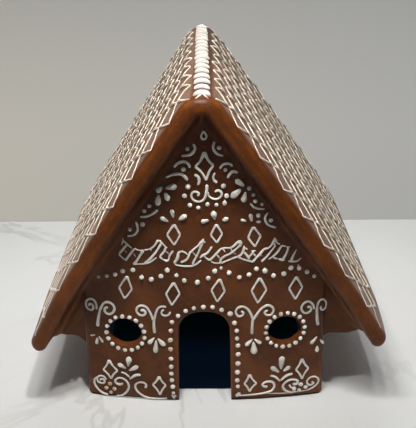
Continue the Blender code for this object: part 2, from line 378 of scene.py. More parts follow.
def clay_glaze():
    """Brown glaze, darker where it pools and orange where it is thin on rounded edges; darker high in the
    gable as painted shade, paler on the slopes as a painted sheen, and on the rim's shoulder partly a painted
    highlight.
    """
    mat, m, sockets, place = new_material("brown_glaze")
    x, y, z = m.axes(place)
    offset = roof_offset(m, x, z)
    depth = ROOF_DEPTH / 2 * MM - m.math("ABSOLUTE", y)

    # body colour: uneven on the walls, darker high in the gable as painted shade under the rim, paler on the
    # slopes as a painted grazing sheen
    pooled = m.noise(place, 26.0, 4.0, 0.55)
    body = m.blend(m.step(pooled, 0.36, 0.68), GLAZE_DARK, GLAZE_MID)
    body = m.blend(m.step(z, 0.120, 0.175) * 0.9, body, GLAZE_GABLE_SHADE)
    # painted sheen: the slopes' clay is coloured paler
    slope = m.step(offset, 0.0042, 0.0060) * m.step(depth, 0.0034, 0.0070)
    body = m.blend(slope * (0.75 + 0.4 * pooled), body, ROOF_CLAY_SHEEN)
    mottle = m.noise(place, 240.0, 4.0, 0.7)
    body = m.blend(m.step(mottle, 0.50, 0.70) * 0.28, body, GLAZE_THIN)

    # thin glaze: the rim's shoulder and face, lips of the openings, edges of the side walls; the shoulder's
    # band is partly a painted highlight
    shoulder = m.step(offset, 0.0012, 0.0046) * m.step(depth, 0.0056, 0.0026)
    rim_face = m.step(offset, -0.0085, -0.0050) * m.step(depth, 0.0080, 0.0050)
    rim_face = rim_face * (0.34 + 0.40 * m.step(z, 0.190, 0.235))
    lips = opening_lips(m, x, z) * m.step(y, -0.080, -0.090)
    side_edge = m.math("ABSOLUTE", x - WALL_X * MM)
    side_edge = m.step(side_edge, (WALL_HALF_HIGH - 1.0) * MM, (WALL_HALF_HIGH + 1.0) * MM)
    side_edge = side_edge * m.step(z, 0.090, 0.080)
    thin = m.largest(shoulder * 0.55, lips * 0.55, side_edge * 0.5, rim_face)
    along = m.out(m.node("ShaderNodeCombineXYZ", None, X=offset, Y=depth, Z=z * 0.3))
    patchy = m.step(m.noise(along, 210.0, 4.0, 0.6), 0.46, 0.70)
    color = m.blend(thin * (0.15 + 0.85 * patchy), body, GLAZE_THIN)

    specks = m.noise(place, 420.0, 2.0, 0.6)
    color = m.blend(m.step(specks, 0.62, 0.74) * 0.4, color, GLAZE_THIN)
    color = m.blend(m.step(z, 0.0027, 0.0019), color, FOOT_SHADE)
    m.feed(sockets["Base Color"], color)
    m.feed(sockets["Roughness"], 0.30 + 0.16 * m.noise(place, 70.0, 3.0))
    set_constants(sockets, Specular_IOR_Level=0.17)
    wave = m.noise(place, 55.0, 2.0, 0.4)
    grain = m.noise(place, 700.0, 2.0, 0.5)
    feed_bump(m, sockets, wave + grain * 0.05, 0.55, 0.0011)
    return mat


def inside_painted_shade():
    """Inside of the hollow, coloured near-black navy as painted shade, with a faint painted navy glow low
    down.
    """
    mat, m, sockets, place = new_material("dark_inside")
    tone = m.noise(place, 40.0, 3.0)
    navy_glow_low = m.step(m.axes(place)[2], 0.062, 0.022)
    m.feed(sockets["Base Color"], m.blend(tone, (0.0035, 0.0055, 0.0095), (0.007, 0.0095, 0.014)))
    # painted light: a faint navy glow low down
    m.feed(sockets["Emission Color"], m.blend(navy_glow_low, BLACK, (0.0011, 0.0042, 0.0100)))
    m.feed(sockets["Roughness"], 0.45 + 0.2 * tone)
    set_constants(sockets, Emission_Strength=1.0)
    return mat


def icing_slip():
    """Glossy off-white slip, creamy on the roof and in places, tan where it has worn."""
    mat, m, sockets, place = new_material("white_icing")
    x, _, z = m.axes(place)
    tone = m.noise(place, 45.0, 3.0, 0.6)
    fine = m.noise(place, 900.0, 3.0, 0.6)
    on_roof = m.step(roof_offset(m, x, z), 0.0040, 0.0060)
    worn = m.out(m.node("ShaderNodeAttribute", {"attribute_name": "worn"}), 2)
    worn = m.math("MINIMUM", worn * (0.45 + 0.9 * m.step(fine, 0.35, 0.65)), 1.0)
    color = m.blend(m.step(tone, 0.50, 0.72) * 0.5, ICING_WHITE, ICING_CREAM)
    color = m.blend(on_roof * 0.7, color, ICING_ROOF)
    m.feed(sockets["Base Color"], m.blend(worn, color, ICING_WORN))
    m.feed(sockets["Roughness"], 0.28 + 0.16 * fine)
    feed_bump(m, sockets, m.noise(place, 1300.0, 2.0, 0.5), 0.35, 0.00012)
    return mat


def marble():
    """Pale worktop with faint grey veins, brighter at the back as painted light."""
    mat, m, sockets, place = new_material("pale_worktop")
    warped = m.node("ShaderNodeTexNoise", None, Vector=place, Scale=3.0, Detail=5.0, Roughness=0.6,
                    Distortion=1.6)
    ridge = m.math("ABSOLUTE", m.out(warped, 0) - 0.5)
    vein = m.step(ridge, 0.020, 0.0) * m.step(m.noise(place, 2.2, 2.0), 0.45, 0.62)
    cloud = m.noise(place, 6.0, 4.0, 0.6)
    near = m.blend(cloud, (0.57, 0.57, 0.565), (0.65, 0.65, 0.645))
    far = m.blend(cloud, (0.87, 0.875, 0.865), (0.94, 0.945, 0.935))
    # painted light: the worktop is coloured brighter towards the back
    color = m.blend(m.step(m.axes(place)[1], -0.26, 0.12), near, far)
    m.feed(sockets["Base Color"], m.blend(vein * 0.35, color, (0.42, 0.40, 0.37)))
    set_constants(sockets, Roughness=0.55)
    return mat


def backdrop_grey():
    """Pale backdrop that glows as painted light. The wall behind the house glows brightest, warm at the left
    and low down.
    """
    mat, m, sockets, place = new_material("grey_backdrop")
    x, y, z = m.axes(place)
    cloud = m.noise(place, 0.8, 2.0)
    m.feed(sockets["Base Color"], m.blend(cloud, (0.40, 0.395, 0.375), (0.46, 0.455, 0.43)))
    # painted light: the glow is warmer at the left and brighter low down
    warm = m.blend(m.step(x, -0.8, 0.9), (0.395, 0.375, 0.325), (0.318, 0.318, 0.311))
    glow = m.blend(m.step(z, -0.35, 0.55), warm, (0.175, 0.178, 0.172))
    m.feed(sockets["Emission Color"], m.blend(m.step(y, 1.1, 1.29), (0.12, 0.12, 0.125), glow))
    set_constants(sockets, Emission_Strength=1.0, Roughness=0.9)
    return mat


def dark_felt():
    """Near-black navy mat, painted shade, with a painted glow that is a little lighter near the door."""
    mat, m, sockets, place = new_material("dark_felt")
    m.feed(sockets["Base Color"], m.blend(m.noise(place, 400.0), (0.0005, 0.0012, 0.0025),
                                          (0.0010, 0.0025, 0.0045)))
    # painted light: the mat's glow is brighter near the door
    deep = m.step(m.axes(place)[1], -0.050, -0.012)
    m.feed(sockets["Emission Color"], m.blend(deep, (0.0010, 0.0038, 0.0085), (0.0003, 0.0012, 0.0016)))
    set_constants(sockets, Emission_Strength=1.0, Roughness=1.0, Specular_IOR_Level=0.0)
    return mat


GLAZE = clay_glaze()
INSIDE = inside_painted_shade()
ICING = icing_slip()

# ---------------------------------------------------------------- mesh helpers


def link(name, data):
    """New object in the scene with the given data."""
    obj = bpy.data.objects.new(name, data)
    bpy.context.collection.objects.link(obj)
    return obj


def applied(obj):
    """Plain mesh of an object as its modifiers leave it. The modifiers go."""
    depsgraph = bpy.context.evaluated_depsgraph_get()
    depsgraph.update()
    mesh = bpy.data.meshes.new_from_object(obj.evaluated_get(depsgraph))
    obj.modifiers.clear()
    return mesh


def discard(obj):
    bpy.data.objects.remove(obj, do_unlink=True)


def bridge(bm, rows):
    """Faces between closed rows of equally many vertices."""
    for low, high in zip(rows, rows[1:]):
        for i in range(len(low)):
            j = (i + 1) % len(low)
            bm.faces.new((low[i], low[j], high[j], high[i]))


def to_mesh(bm, name):
    mesh = bpy.data.meshes.new(name)
    bm.to_mesh(mesh)
    bm.free()
    return mesh


def loft(name, rings, material):
    """Closed object through rings of points in millimetres."""
    bm = bmesh.new()
    rows = [[bm.verts.new(point * MM) for point in ring] for ring in rings]
    bridge(bm, rows)
    for row in (rows[0], rows[-1]):
        bm.faces.new(row)
    bmesh.ops.recalc_face_normals(bm, faces=bm.faces)
    for face in bm.faces:
        face.smooth = True
    mesh = to_mesh(bm, name)
    mesh.materials.append(material)
    return link(name, mesh)


def prism(name, section, start, stop, material):
    """Closed object with one section from y = start to y = stop."""
    return loft(name, [[Vector((p.x, y, p.y)) for p in section] for y in (start, stop)], material)


def arc(centre, radius, start, stop, steps):
    turns = [start + (stop - start) * i / steps for i in range(steps + 1)]
    return [centre + Vector((cos(t), sin(t))) * radius for t in turns]


# ---------------------------------------------------------------- house body


def between(a, b, steps):
    """Points strictly between two points."""
    return [a.lerp(b, i / steps) for i in range(1, steps)]


# Levels of the pocket behind the rim: depth, half thickness, how far they follow the bow
POCKET_SIDE = [(9.5, 6.0, 0.5), (12.5, 7.8, 1.0), (14.0, 8.8, 1.0), (15.0, 9.8, 1.0), (15.6, 11.1, 1.0),
               (17.5, 11.4, 1.0), (WEB_SETBACK + 0.5, 15.0, 0.0)]
RIM_START = radians(15.0)
RIM_LEVELS = 9
SLAB_LEVELS = 18
BOW_LIMIT = (-88.0, 84.0)
BELOW = -20.0
CLEAR_HALF = 140.0
KNEE_Z = 84.0
DOOR_LOW_Z = -5.0
DOOR_LIP = 1.1
WINDOW_LIP = 1.6
SHARP_EDGE = radians(32.0)


def slab_outline(outer, inner):
    """Section of the roof slab with closely spaced points."""
    turn = {side: atan2(OUT[side].y, OUT[side].x) for side in (-1, 1)}
    cap, along = 14, 34
    left, right = [], []
    for i in range(cap + 1):
        share = i / cap
        reach = inner + (outer - inner) * min(1.0, 2.0 * share)
        angle = turn[-1] + pi * (1 - share)
        left.append(TIP[-1] + Vector((cos(angle), sin(angle))) * reach)
        angle = turn[1] - pi * (1 - share)
        right.append(TIP[1] + Vector((cos(angle), sin(angle))) * reach)
    top = arc(RIDGE_CENTRE, RIDGE_CORE + outer, turn[-1], turn[1], 20)
    fillet = max(RIDGE_CORE - inner, 1.2)
    under = arc(crossing(-inner - fillet), fillet, turn[1], turn[-1], 6)
    right.reverse()
    points = left + between(left[-1], top[0], along) + top
    points += between(top[-1], right[0], along) + right
    points += between(right[-1], under[0], along) + under
    points += between(under[-1], left[0], along)
    return points


def slab_ring(depth, outer, inner, follow, mirror=False):
    """One ring of the roof slab. It follows the bowed wall, from the front or from the back."""
    row = []
    for p in slab_outline(outer, inner):
        deep = depth + follow * bow(max(BOW_LIMIT[0], min(BOW_LIMIT[1], p.x)))
        deep = ROOF_DEPTH - deep if mirror else deep
        p = shaped(p, deep)
        row.append(Vector((kept_in(p.x), FRONT_Y + deep, p.y)))
    return row


def roof_slab():
    """Roof slab: round rims, drafted pocket sides and a small fillet where they meet the wall."""
    turns = [RIM_START + (pi / 2 - RIM_START) * i / RIM_LEVELS for i in range(RIM_LEVELS + 1)]
    first = SLAB_HALF * (1 - cos(RIM_START))
    levels = [(SLAB_HALF * (1 - cos(t)) - first, SLAB_HALF * sin(t), LIP_HALF * sin(t), 0.0) for t in turns]
    levels += [(depth, SLAB_HALF, inner, follow) for depth, inner, follow in POCKET_SIDE]
    rings = [slab_ring(*level) for level in levels]
    start, half = POCKET_SIDE[-1][:2]
    for i in range(1, SLAB_LEVELS):
        depth = start + (ROOF_DEPTH - 2 * start) * i / SLAB_LEVELS
        rings.append(slab_ring(depth, SLAB_HALF, half, 0.0))
    rings += [slab_ring(*level, True) for level in reversed(levels)]
    return loft("house", rings, GLAZE)


def eave_ring(depth):
    """Section of the eave box between the slab's middle line and the soffit."""
    wall = WALL_HALF_HIGH + 1.5
    tip = {side: shaped(TIP[side], depth) for side in (-1, 1)}
    points = [shaped(RIDGE, depth) - Vector((0.0, 3.0))]
    points += [tip[1], tip[1] + Vector((-1.5, -6.0)), tip[1] + Vector((-6.5, -9.6)),
               Vector((tip[1].x - 15.5, SOFFIT_Z[1]))]
    right = arc(Vector((WALL_X + wall + FILLET[1], SOFFIT_Z[1] - FILLET[1])), FILLET[1], pi / 2, pi, 8)
    left = arc(Vector((WALL_X - wall - FILLET[-1], SOFFIT_Z[-1] - FILLET[-1])), FILLET[-1], 0.0, pi / 2, 10)
    points += right + [right[-1] - Vector((4.0, 0.0)), left[0] + Vector((4.0, 0.0))] + left
    points += [Vector((tip[-1].x + 12.5, SOFFIT_Z[-1])), tip[-1] + Vector((6.0, -9.4)),
               tip[-1] + Vector((1.5, -6.0)), tip[-1]]
    return [Vector((kept_in(p.x), FRONT_Y + depth, p.y)) for p in points]


def wall_ring(z, inset, steps=44):
    """Plan outline of the walls at height z."""
    radius = max(WALL_CORNER - inset, 0.8)
    flat = wall_half(z) - inset - radius
    front = []
    for i in range(steps + 1):
        x = -flat + 2 * flat * i / steps
        front.append((x, FRONT_Y + WALL_RECESS + bow(x + WALL_X) + inset))
    corner = front[-1][1] + radius
    for i in range(1, 7):
        angle = -pi / 2 + pi / 2 * i / 6
        front.append((flat + radius * cos(angle), corner + radius * sin(angle)))
        front.insert(0, (-flat - radius * cos(angle), corner + radius * sin(angle)))
    ring = front + [(x, -y) for x, y in reversed(front)]
    return [Vector((WALL_X + x, y, z)) for x, y in ring]


def under_roof(offset, top, low, half_low):
    """Section below the slopes moved by offset, cut flat at the top."""
    def slope(side, z):
        start = TIP[side] + OUT[side] * offset
        return Vector((start.x + UP[side].x * (z - start.y) / UP[side].y, z))

    return [Vector((-half_low, low)), Vector((half_low, low)), slope(1, KNEE_Z), slope(1, top),
            slope(-1, top), slope(-1, KNEE_Z)]


def wall_cutter(name, outline, flare):
    """Cutter for an opening whose lip is rounded and follows the bowed wall.

    outline(e) gives the opening's outline grown by e as (x, z) pairs."""
    levels = [(-5.0, flare)]
    for share in (0.0, 0.25, 0.5, 0.75, 1.0):
        levels.append((flare * share, flare * (1 - sqrt(1 - (1 - share) ** 2))))
    levels.append((12.0, 0.0))
    rings = [[front_wall(x, z, -depth) for x, z in outline(grow)] for depth, grow in levels]
    return loft(name, rings, GLAZE)


def door_outline(grow):
    """Leaning jambs under a squarish arch, grown by a margin."""
    def jamb(side):
        points = []
        for i in range(12):
            half = DOOR_HALF_FOOT + (DOOR_HALF_SPRING - DOOR_HALF_FOOT) * i / 12 + grow
            points.append((DOOR_X + side * half, DOOR_LOW_Z + (DOOR_SPRING_Z - DOOR_LOW_Z) * i / 12))
        return points

    arch = []
    for i in range(33):
        angle = pi * i / 32
        radius = DOOR_HALF_SPRING + grow
        across, rise = (abs(part) ** (2.0 / ARCH_POWER) for part in (cos(angle), sin(angle)))
        side = 1 if i < 16 else -1
        arch.append((DOOR_X + side * radius * across, DOOR_SPRING_Z + radius * rise))
    return jamb(1) + arch + jamb(-1)[::-1]


def window_outline(x, z):
    """Round outline about a window's middle, grown by a margin."""
    def outline(grow):
        turns = [2 * pi * i / 48 for i in range(48)]
        return [(x + (WINDOW_R + grow) * cos(turn), z + (WINDOW_R + grow) * sin(turn)) for turn in turns]
    return outline


def build_house():
    """The one-piece hollow body."""
    house = roof_slab()
    tools = []

    def cut(target, operation, tool):
        mod = target.modifiers.new(tool.name, "BOOLEAN")
        mod.operation = operation
        mod.solver = "EXACT"
        mod.material_mode = "TRANSFER"
        mod.object = tool
        tools.append(tool)

    def trimmed(obj, offset, material):
        """Cut an object down to what lies under the slopes."""
        section = under_roof(offset, HOLLOW_TOP_Z, BELOW, CLEAR_HALF)
        cut(obj, "INTERSECT", prism(obj.name + "_trim", section, FRONT_Y, -FRONT_Y, material))
        return obj

    run = ROOF_DEPTH - 2 * WEB_SETBACK
    eaves = loft("eave_box", [eave_ring(WEB_SETBACK + run * i / 12) for i in range(13)], GLAZE)
    rows = [(0.0, FOOT_INSET), (FOOT_HEIGHT, FOOT_INSET), (FOOT_HEIGHT, 0.0)]
    rows += [(FOOT_HEIGHT + (RIDGE_LINE_Z + 8.0) * i / 40, 0.0) for i in range(1, 41)]
    walls = trimmed(loft("walls", [wall_ring(z, inset) for z, inset in rows], GLAZE), -2.5, GLAZE)
    offset = SLAB_HALF - SHELL
    room = loft("room", [wall_ring(z, WALL_THICK) for z in (-10.0, RIDGE_LINE_Z)], INSIDE)
    room = trimmed(room, offset, INSIDE)
    reach = -FRONT_Y - WEB_SETBACK - WALL_THICK
    attic = prism("attic", under_roof(offset - 0.4, HOLLOW_TOP_Z - 0.7, ATTIC_FLOOR_Z, TIP_X - 14.0),
                  -reach, reach, INSIDE)
    cut(house, "UNION", eaves)
    cut(house, "UNION", walls)
    cut(house, "DIFFERENCE", room)
    cut(house, "DIFFERENCE", attic)
    cut(house, "DIFFERENCE", wall_cutter("door", door_outline, DOOR_LIP))
    for word, (x, z) in WINDOWS.items():
        cut(house, "DIFFERENCE", wall_cutter("window_" + word, window_outline(x, z), WINDOW_LIP))
    mesh = applied(house)
    for obj in (house, *tools):
        discard(obj)
    mesh.shade_smooth()
    mesh.set_sharp_from_angle(angle=SHARP_EDGE)
    skin = link("house_body", mesh)
    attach(skin, "root")
    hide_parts("house")


build_house()

# ---------------------------------------------------------------- icing tools


def new_tree(name, inputs):
    """Geometry tree with a geometry input, named inputs and a geometry output."""
    tree = bpy.data.node_groups.new(name, "GeometryNodeTree")
    tree.interface.new_socket("Geometry", in_out="INPUT", socket_type="NodeSocketGeometry")
    for label, kind in inputs:
        tree.interface.new_socket(label, in_out="INPUT", socket_type="NodeSocket" + kind)
    tree.interface.new_socket("Geometry", in_out="OUTPUT", socket_type="NodeSocketGeometry")
    maker = Maker(tree)
    source = maker.node("NodeGroupInput")
    return tree, maker, {socket.name: socket for socket in source.outputs if socket.name}


def finish_tree(maker, geometry, material):
    """Realize, set the material and end the tree."""
    real = maker.node("GeometryNodeRealizeInstances", None, Geometry=geometry)
    smooth = maker.node("GeometryNodeSetShadeSmooth", None, Geometry=real.outputs[0])
    done = maker.node("GeometryNodeSetMaterial", None, Geometry=smooth.outputs[0], Material=material)
    target = maker.node("NodeGroupOutput")
    maker.tree.links.new(done.outputs[0], target.inputs[0])


def set_inputs(mod, values):
    """Set a node modifier's inputs by their identifiers."""
    for item in mod.node_group.interface.items_tree:
        if item.item_type == "SOCKET" and item.in_out == "INPUT" and item.name in values:
            mod[item.identifier] = values[item.name]


def piped_line_tree():
    """Sweeps a round bead of icing along curves and flattens it towards the wall."""
    tree, m, sock = new_tree("piped_line", [("Sides", "Int"), ("Flatten", "Float"), ("Icing", "Material")])
    profile = m.node("GeometryNodeCurvePrimitiveCircle", {"mode": "RADIUS"}, Resolution=sock["Sides"],
                     Radius=1.0)
    radius = m.node("GeometryNodeInputRadius")
    swept = m.node("GeometryNodeCurveToMesh", None, Curve=sock["Geometry"], i1=profile.outputs[0],
                   Scale=radius.outputs[0], i3=True)
    place = m.node("GeometryNodeInputPosition")
    squash = m.node("ShaderNodeCombineXYZ", None, X=1.0, Y=1.0, Z=sock["Flatten"])
    flat = m.node("ShaderNodeVectorMath", {"operation": "MULTIPLY"}, i0=place.outputs[0],
                  i1=squash.outputs[0])
    laid = m.node("GeometryNodeSetPosition", None, Geometry=swept.outputs[0], Position=flat.outputs[0])
    finish_tree(m, laid.outputs[0], sock["Icing"])
    return tree


def icing_dot_tree():
    """Puts a slightly uneven round dot of icing on every point, sized by its size attribute."""
    tree, m, sock = new_tree("icing_dots", [("Seed", "Int"), ("Height", "Float"), ("Icing", "Material")])
    ball = m.node("GeometryNodeMeshUVSphere", None, Segments=12, Rings=7, Radius=1.0)
    size = m.node("GeometryNodeInputNamedAttribute", {"data_type": "FLOAT"}, Name="size")
    uneven = m.node("FunctionNodeRandomValue", {"data_type": "FLOAT_VECTOR"}, i0=(0.90, 0.90, 0.85),
                    i1=(1.08, 1.08, 1.12), Seed=sock["Seed"])
    tall = m.node("ShaderNodeCombineXYZ", None, X=1.0, Y=1.0, Z=sock["Height"])
    form = m.node("ShaderNodeVectorMath", {"operation": "MULTIPLY"}, i0=uneven.outputs[0],
                  i1=tall.outputs[0])
    scaled = m.node("ShaderNodeVectorMath", {"operation": "SCALE"}, i0=form.outputs[0],
                    Scale=size.outputs[0])
    turned = m.node("FunctionNodeRandomValue", {"data_type": "FLOAT_VECTOR"}, i0=(0.0, 0.0, 0.0),
                    i1=(0.0, 0.0, 6.28), Seed=sock["Seed"])
    spread = m.node("GeometryNodeInstanceOnPoints", None, Points=sock["Geometry"],
                    Instance=ball.outputs[0], Rotation=turned.outputs[0], Scale=scaled.outputs[0])
    finish_tree(m, spread.outputs[0], sock["Icing"])
    return tree


PIPED_LINE = piped_line_tree()
ICING_DOTS = icing_dot_tree()
CAP_SHARES = (0.0, 0.07, 0.28, 0.6)
DOT_LIFT = 0.18


def grown(obj, tree, values):
    """Plain mesh that a node tree makes from an object. The object goes."""
    mod = obj.modifiers.new(tree.name, "NODES")
    mod.node_group = tree
    set_inputs(mod, {**values, "Icing": ICING})
    mesh = applied(obj)
    discard(obj)
    return mesh


def smooth_path(points, step):
    """Close points on a rounded path through the given points, and the length gone at each."""
    pts = [Vector(p) for p in points]
    if len(pts) == 2:
        pts = [pts[0], pts[0].lerp(pts[1], 0.5), pts[1]]
    ends = [pts[0] * 2 - pts[1]] + pts + [pts[-1] * 2 - pts[-2]]
    dense = []
    for a, b, c, d in zip(ends, ends[1:], ends[2:], ends[3:]):
        count = max(3, int((c - b).length / (step * 0.34)))
        for i in range(count):
            t = i / count
            dense.append(0.5 * ((2 * b) + (c - a) * t + (2 * a - 5 * b + 4 * c - d) * t * t
                                + (3 * b - a - 3 * c + d) * t ** 3))
    dense.append(pts[-1])
    gone = [0.0]
    for a, b in zip(dense, dense[1:]):
        gone.append(gone[-1] + (b - a).length)
    return dense, gone


def at_length(dense, gone, where):
    """Point of the path where a length is gone."""
    low, high = 0, len(gone) - 1
    while high - low > 1:
        mid = (low + high) // 2
        if gone[mid] <= where:
            low = mid
        else:
            high = mid
    span = gone[high] - gone[low]
    share = 0.0 if span < 1e-9 else (where - gone[low]) / span
    return dense[low].lerp(dense[high], max(0.0, min(1.0, share)))


def bead_points(points, widths, step, wobble, seed):
    """Points and radii of one piped stroke with round ends."""
    dense, gone = smooth_path(points, step)
    total = gone[-1]

    def radius(where):
        share = max(0.0, min(0.9999, where / total)) * (len(widths) - 1)
        index = int(share)
        ease = share - index
        width = widths[index] + (widths[index + 1] - widths[index]) * ease
        wave = noise.noise(Vector((where * 0.35, seed * 7.31, 0.5)))
        return 0.5 * width * (1 + wobble * wave)

    first, last = radius(0.0), radius(total)
    stop = max(total - last, first + 0.05)
    count = max(1, round((stop - first) / step))
    places = [(share * first, first) for share in CAP_SHARES]
    places += [(first + (stop - first) * i / count, None) for i in range(count + 1)]
    places += [(total - share * last, last) for share in reversed(CAP_SHARES)]
    beads = []
    for where, cap in places:
        full = radius(where)
        if cap is not None:
            near = min(where, total - where)
            full = sqrt(max(0.0, cap * cap - (cap - near) ** 2)) + 0.01
        beads.append((at_length(dense, gone, where), full))
    return beads


def pipe(name, place, strokes, worn=(), step=0.7, sides=10, flatten=0.78, lift=0.28, wobble=0.18):
    """One object of piped strokes laid on a surface. A stroke is (points, widths)."""
    curve = bpy.data.curves.new(name, "CURVE")
    curve.dimensions = "3D"
    for number, (points, widths) in enumerate(strokes):
        beads = bead_points(points, widths, step, wobble, number)
        spline = curve.splines.new("POLY")
        spline.points.add(len(beads) - 1)
        for point, (spot, radius) in zip(spline.points, beads):
            point.co = (spot.x, spot.y, radius * lift / flatten, 1.0)
            point.radius = radius
    lay(name, grown(link(name, curve), PIPED_LINE, {"Sides": sides, "Flatten": flatten}), place, worn)


def dots(name, place, spots, seed, height=0.92, worn=()):
    """One object of icing dots. A spot is (u, v, radius)."""
    mesh = bpy.data.meshes.new(name)
    mesh.from_pydata([(u, v, 0.0) for u, v, _ in spots], [], [])
    size = mesh.attributes.new("size", "FLOAT", "POINT")
    for item, (_, _, radius) in zip(size.data, spots):
        item.value = radius
    made = grown(link(name, mesh), ICING_DOTS, {"Seed": seed, "Height": height})
    for vertex in made.vertices:
        vertex.co.z += DOT_LIFT
    lay(name, made, place, worn)


def lay(name, mesh, place, worn):
    """Bend a flat mesh (u, v, height) onto its surface, mark worn icing, make it a piece."""
    marks = []
    for vertex in mesh.vertices:
        u, v, h = vertex.co
        amount = 0.0
        for wu, wv, reach, strength in worn:
            far = hypot(u - wu, v - wv)
            if far < reach:
                amount = max(amount, strength * min(1.0, 2.0 * (1 - far / reach)))
        marks.append(amount)
        vertex.co = place(u, v, h) * MM
    size = mesh.attributes.get("size")
    if size:
        mesh.attributes.remove(size)
    attribute = mesh.attributes.new("worn", "FLOAT", "POINT")
    for item, amount in zip(attribute.data, marks):
        item.value = amount
    bm = bmesh.new()
    bm.from_mesh(mesh)
    bmesh.ops.recalc_face_normals(bm, faces=bm.faces)
    bm.to_mesh(mesh)
    bm.free()
    piece = link(name, mesh)
    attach(piece, "root")
    return piece


# ---------------------------------------------------------------- icing motifs


def drop(tail, head, width, thin=0.5):
    """Tear drop from its thin tail to its round head, given as the head's centre."""
    tail, head = Vector(tail), Vector(head)
    way = (head - tail).normalized()
    end = head + way * width * 0.5
    return ([tail, tail.lerp(end, 0.5), end], (thin, width * 0.72, width, width))


def diamond(top, right, bottom, left, width, waist=0.0):
    """Four strokes round a diamond; waist pulls their middles inwards."""
    corners = [Vector(p) for p in (top, right, bottom, left)]
    middle = (corners[0] + corners[1] + corners[2] + corners[3]) / 4
    strokes = []
    for a, b in zip(corners, corners[1:] + corners[:1]):
        mid = a.lerp(b, 0.5).lerp(middle, waist)
        ends = (1.45, 0.95, 1.0) if a is corners[0] else (1.0, 0.92, 1.05)
        if b is corners[0]:
            ends = (1.0, 0.95, 1.45)
        strokes.append(([a, mid, b], tuple(width * e for e in ends)))
    return strokes


def diamonds(corner_sets, width, waist):
    return [stroke for corners in corner_sets for stroke in diamond(*corners, width, waist)]


def ring_of_dots(x, z, rx, rz, count, radius, start):
    turns = [start + 2 * pi * i / count for i in range(count)]
    return [(x + rx * cos(turn), z + rz * sin(turn), radius) for turn in turns]


def moved(strokes, x, z):
    return [([Vector(p) + Vector((x, z)) for p in points], widths) for points, widths in strokes]


GABLE_STROKES = [
    ([(-7.3, 208.3), (-6.3, 205.2), (-8.3, 202.0), (-11.5, 200.8), (-14.7, 200.5)], (1.5, 1.9, 1.5)),
    ([(5.7, 209.7), (4.9, 206.0), (6.0, 203.2), (8.0, 201.4), (11.0, 200.3)], (1.4, 1.8, 1.4)),
    ([(-19.7, 193.0), (-17.3, 195.5), (-13.7, 196.8), (-10.7, 195.4), (-9.6, 192.7)], (1.7, 2.0, 1.6)),
    ([(9.0, 191.9), (10.6, 194.2), (13.0, 195.3), (15.5, 194.7), (16.9, 193.3)], (1.4, 1.7, 1.4)),
    ([(-25.0, 185.9), (-21.3, 187.8), (-17.3, 188.6), (-14.0, 187.6), (-11.3, 184.3)], (1.3, 1.9, 2.0)),
    ([(14.0, 185.3), (15.0, 187.7), (17.3, 189.8), (20.3, 189.0)], (1.5, 2.0, 1.8)),
    ([(-6.7, 188.1), (-4.5, 186.2), (-4.0, 183.4), (-5.0, 180.7)], (1.9, 2.2, 1.2)),
    ([(5.9, 189.0), (4.9, 186.3), (5.5, 183.8), (7.3, 182.5)], (1.4, 1.7, 1.9)),
    ([(0.9, 181.0), (0.6, 176.5), (-0.3, 172.2), (-2.3, 169.8), (-5.3, 169.2), (-8.2, 170.8),
      (-9.2, 173.6), (-8.0, 175.8), (-6.0, 176.1), (-4.3, 174.8), (-5.3, 173.2)], (2.2, 1.9, 1.5, 1.5, 1.6)),
    ([(1.3, 176.0), (2.3, 172.8), (4.3, 171.2), (6.8, 170.8), (9.1, 172.0), (10.3, 174.2),
      (9.4, 176.3), (7.7, 177.0), (5.9, 176.0)], (1.2, 1.5, 1.4, 1.5, 1.6)),
    ([(-43.0, 157.7), (-39.3, 158.0), (-35.3, 159.7), (-31.3, 163.0)], (1.5, 1.6, 2.0)),
    ([(28.7, 167.3), (30.3, 165.0), (33.3, 163.4), (38.0, 162.8)], (1.5, 1.4, 1.2)),
    ([(-46.0, 154.0), (-45.2, 150.0), (-45.7, 146.7), (-48.3, 143.8), (-52.3, 143.0)], (1.6, 1.5, 1.2)),
    ([(40.3, 160.0), (38.6, 157.0), (39.0, 153.8), (41.2, 150.8), (46.0, 148.7)], (1.3, 1.6, 1.3)),
    ([(-0.9, 216.6), (-2.4, 213.6), (-2.0, 211.8), (-0.8, 211.2), (0.4, 211.8), (0.8, 213.6),
      (-0.9, 216.6)], (1.3, 1.3, 1.3)),
    drop((-25.4, 178.7), (-20.6, 179.8), 4.2, 1.6),
    drop((-27.8, 179.4), (-29.9, 177.3), 3.4, 1.4),
    drop((-30.0, 173.9), (-30.8, 168.6), 3.9, 0.8),
    drop((-25.9, 175.3), (-24.6, 172.0), 3.9, 2.4),
    drop((24.4, 179.6), (20.6, 182.8), 3.9, 1.0),
    drop((22.2, 177.4), (18.0, 173.7), 4.4, 2.2),
    drop((25.5, 175.4), (24.5, 170.6), 3.8, 1.2),
    drop((-21.2, 157.6), (-21.9, 162.0), 2.9, 1.0),
    drop((-24.6, 154.6), (-28.2, 157.0), 3.1, 0.9),
    drop((-17.7, 156.0), (-14.2, 158.5), 3.7, 0.9),
    drop((5.8, 156.0), (5.1, 160.4), 3.8, 0.9),
    drop((1.7, 155.7), (-1.4, 155.0), 3.4, 2.2),
    drop((10.9, 155.4), (12.9, 156.4), 3.4, 2.0),
    drop((30.0, 154.2), (29.1, 158.2), 3.0, 0.9),
    drop((26.3, 154.4), (23.9, 155.3), 2.3, 1.0),
    drop((32.8, 153.5), (34.6, 153.8), 2.3, 0.9),
]

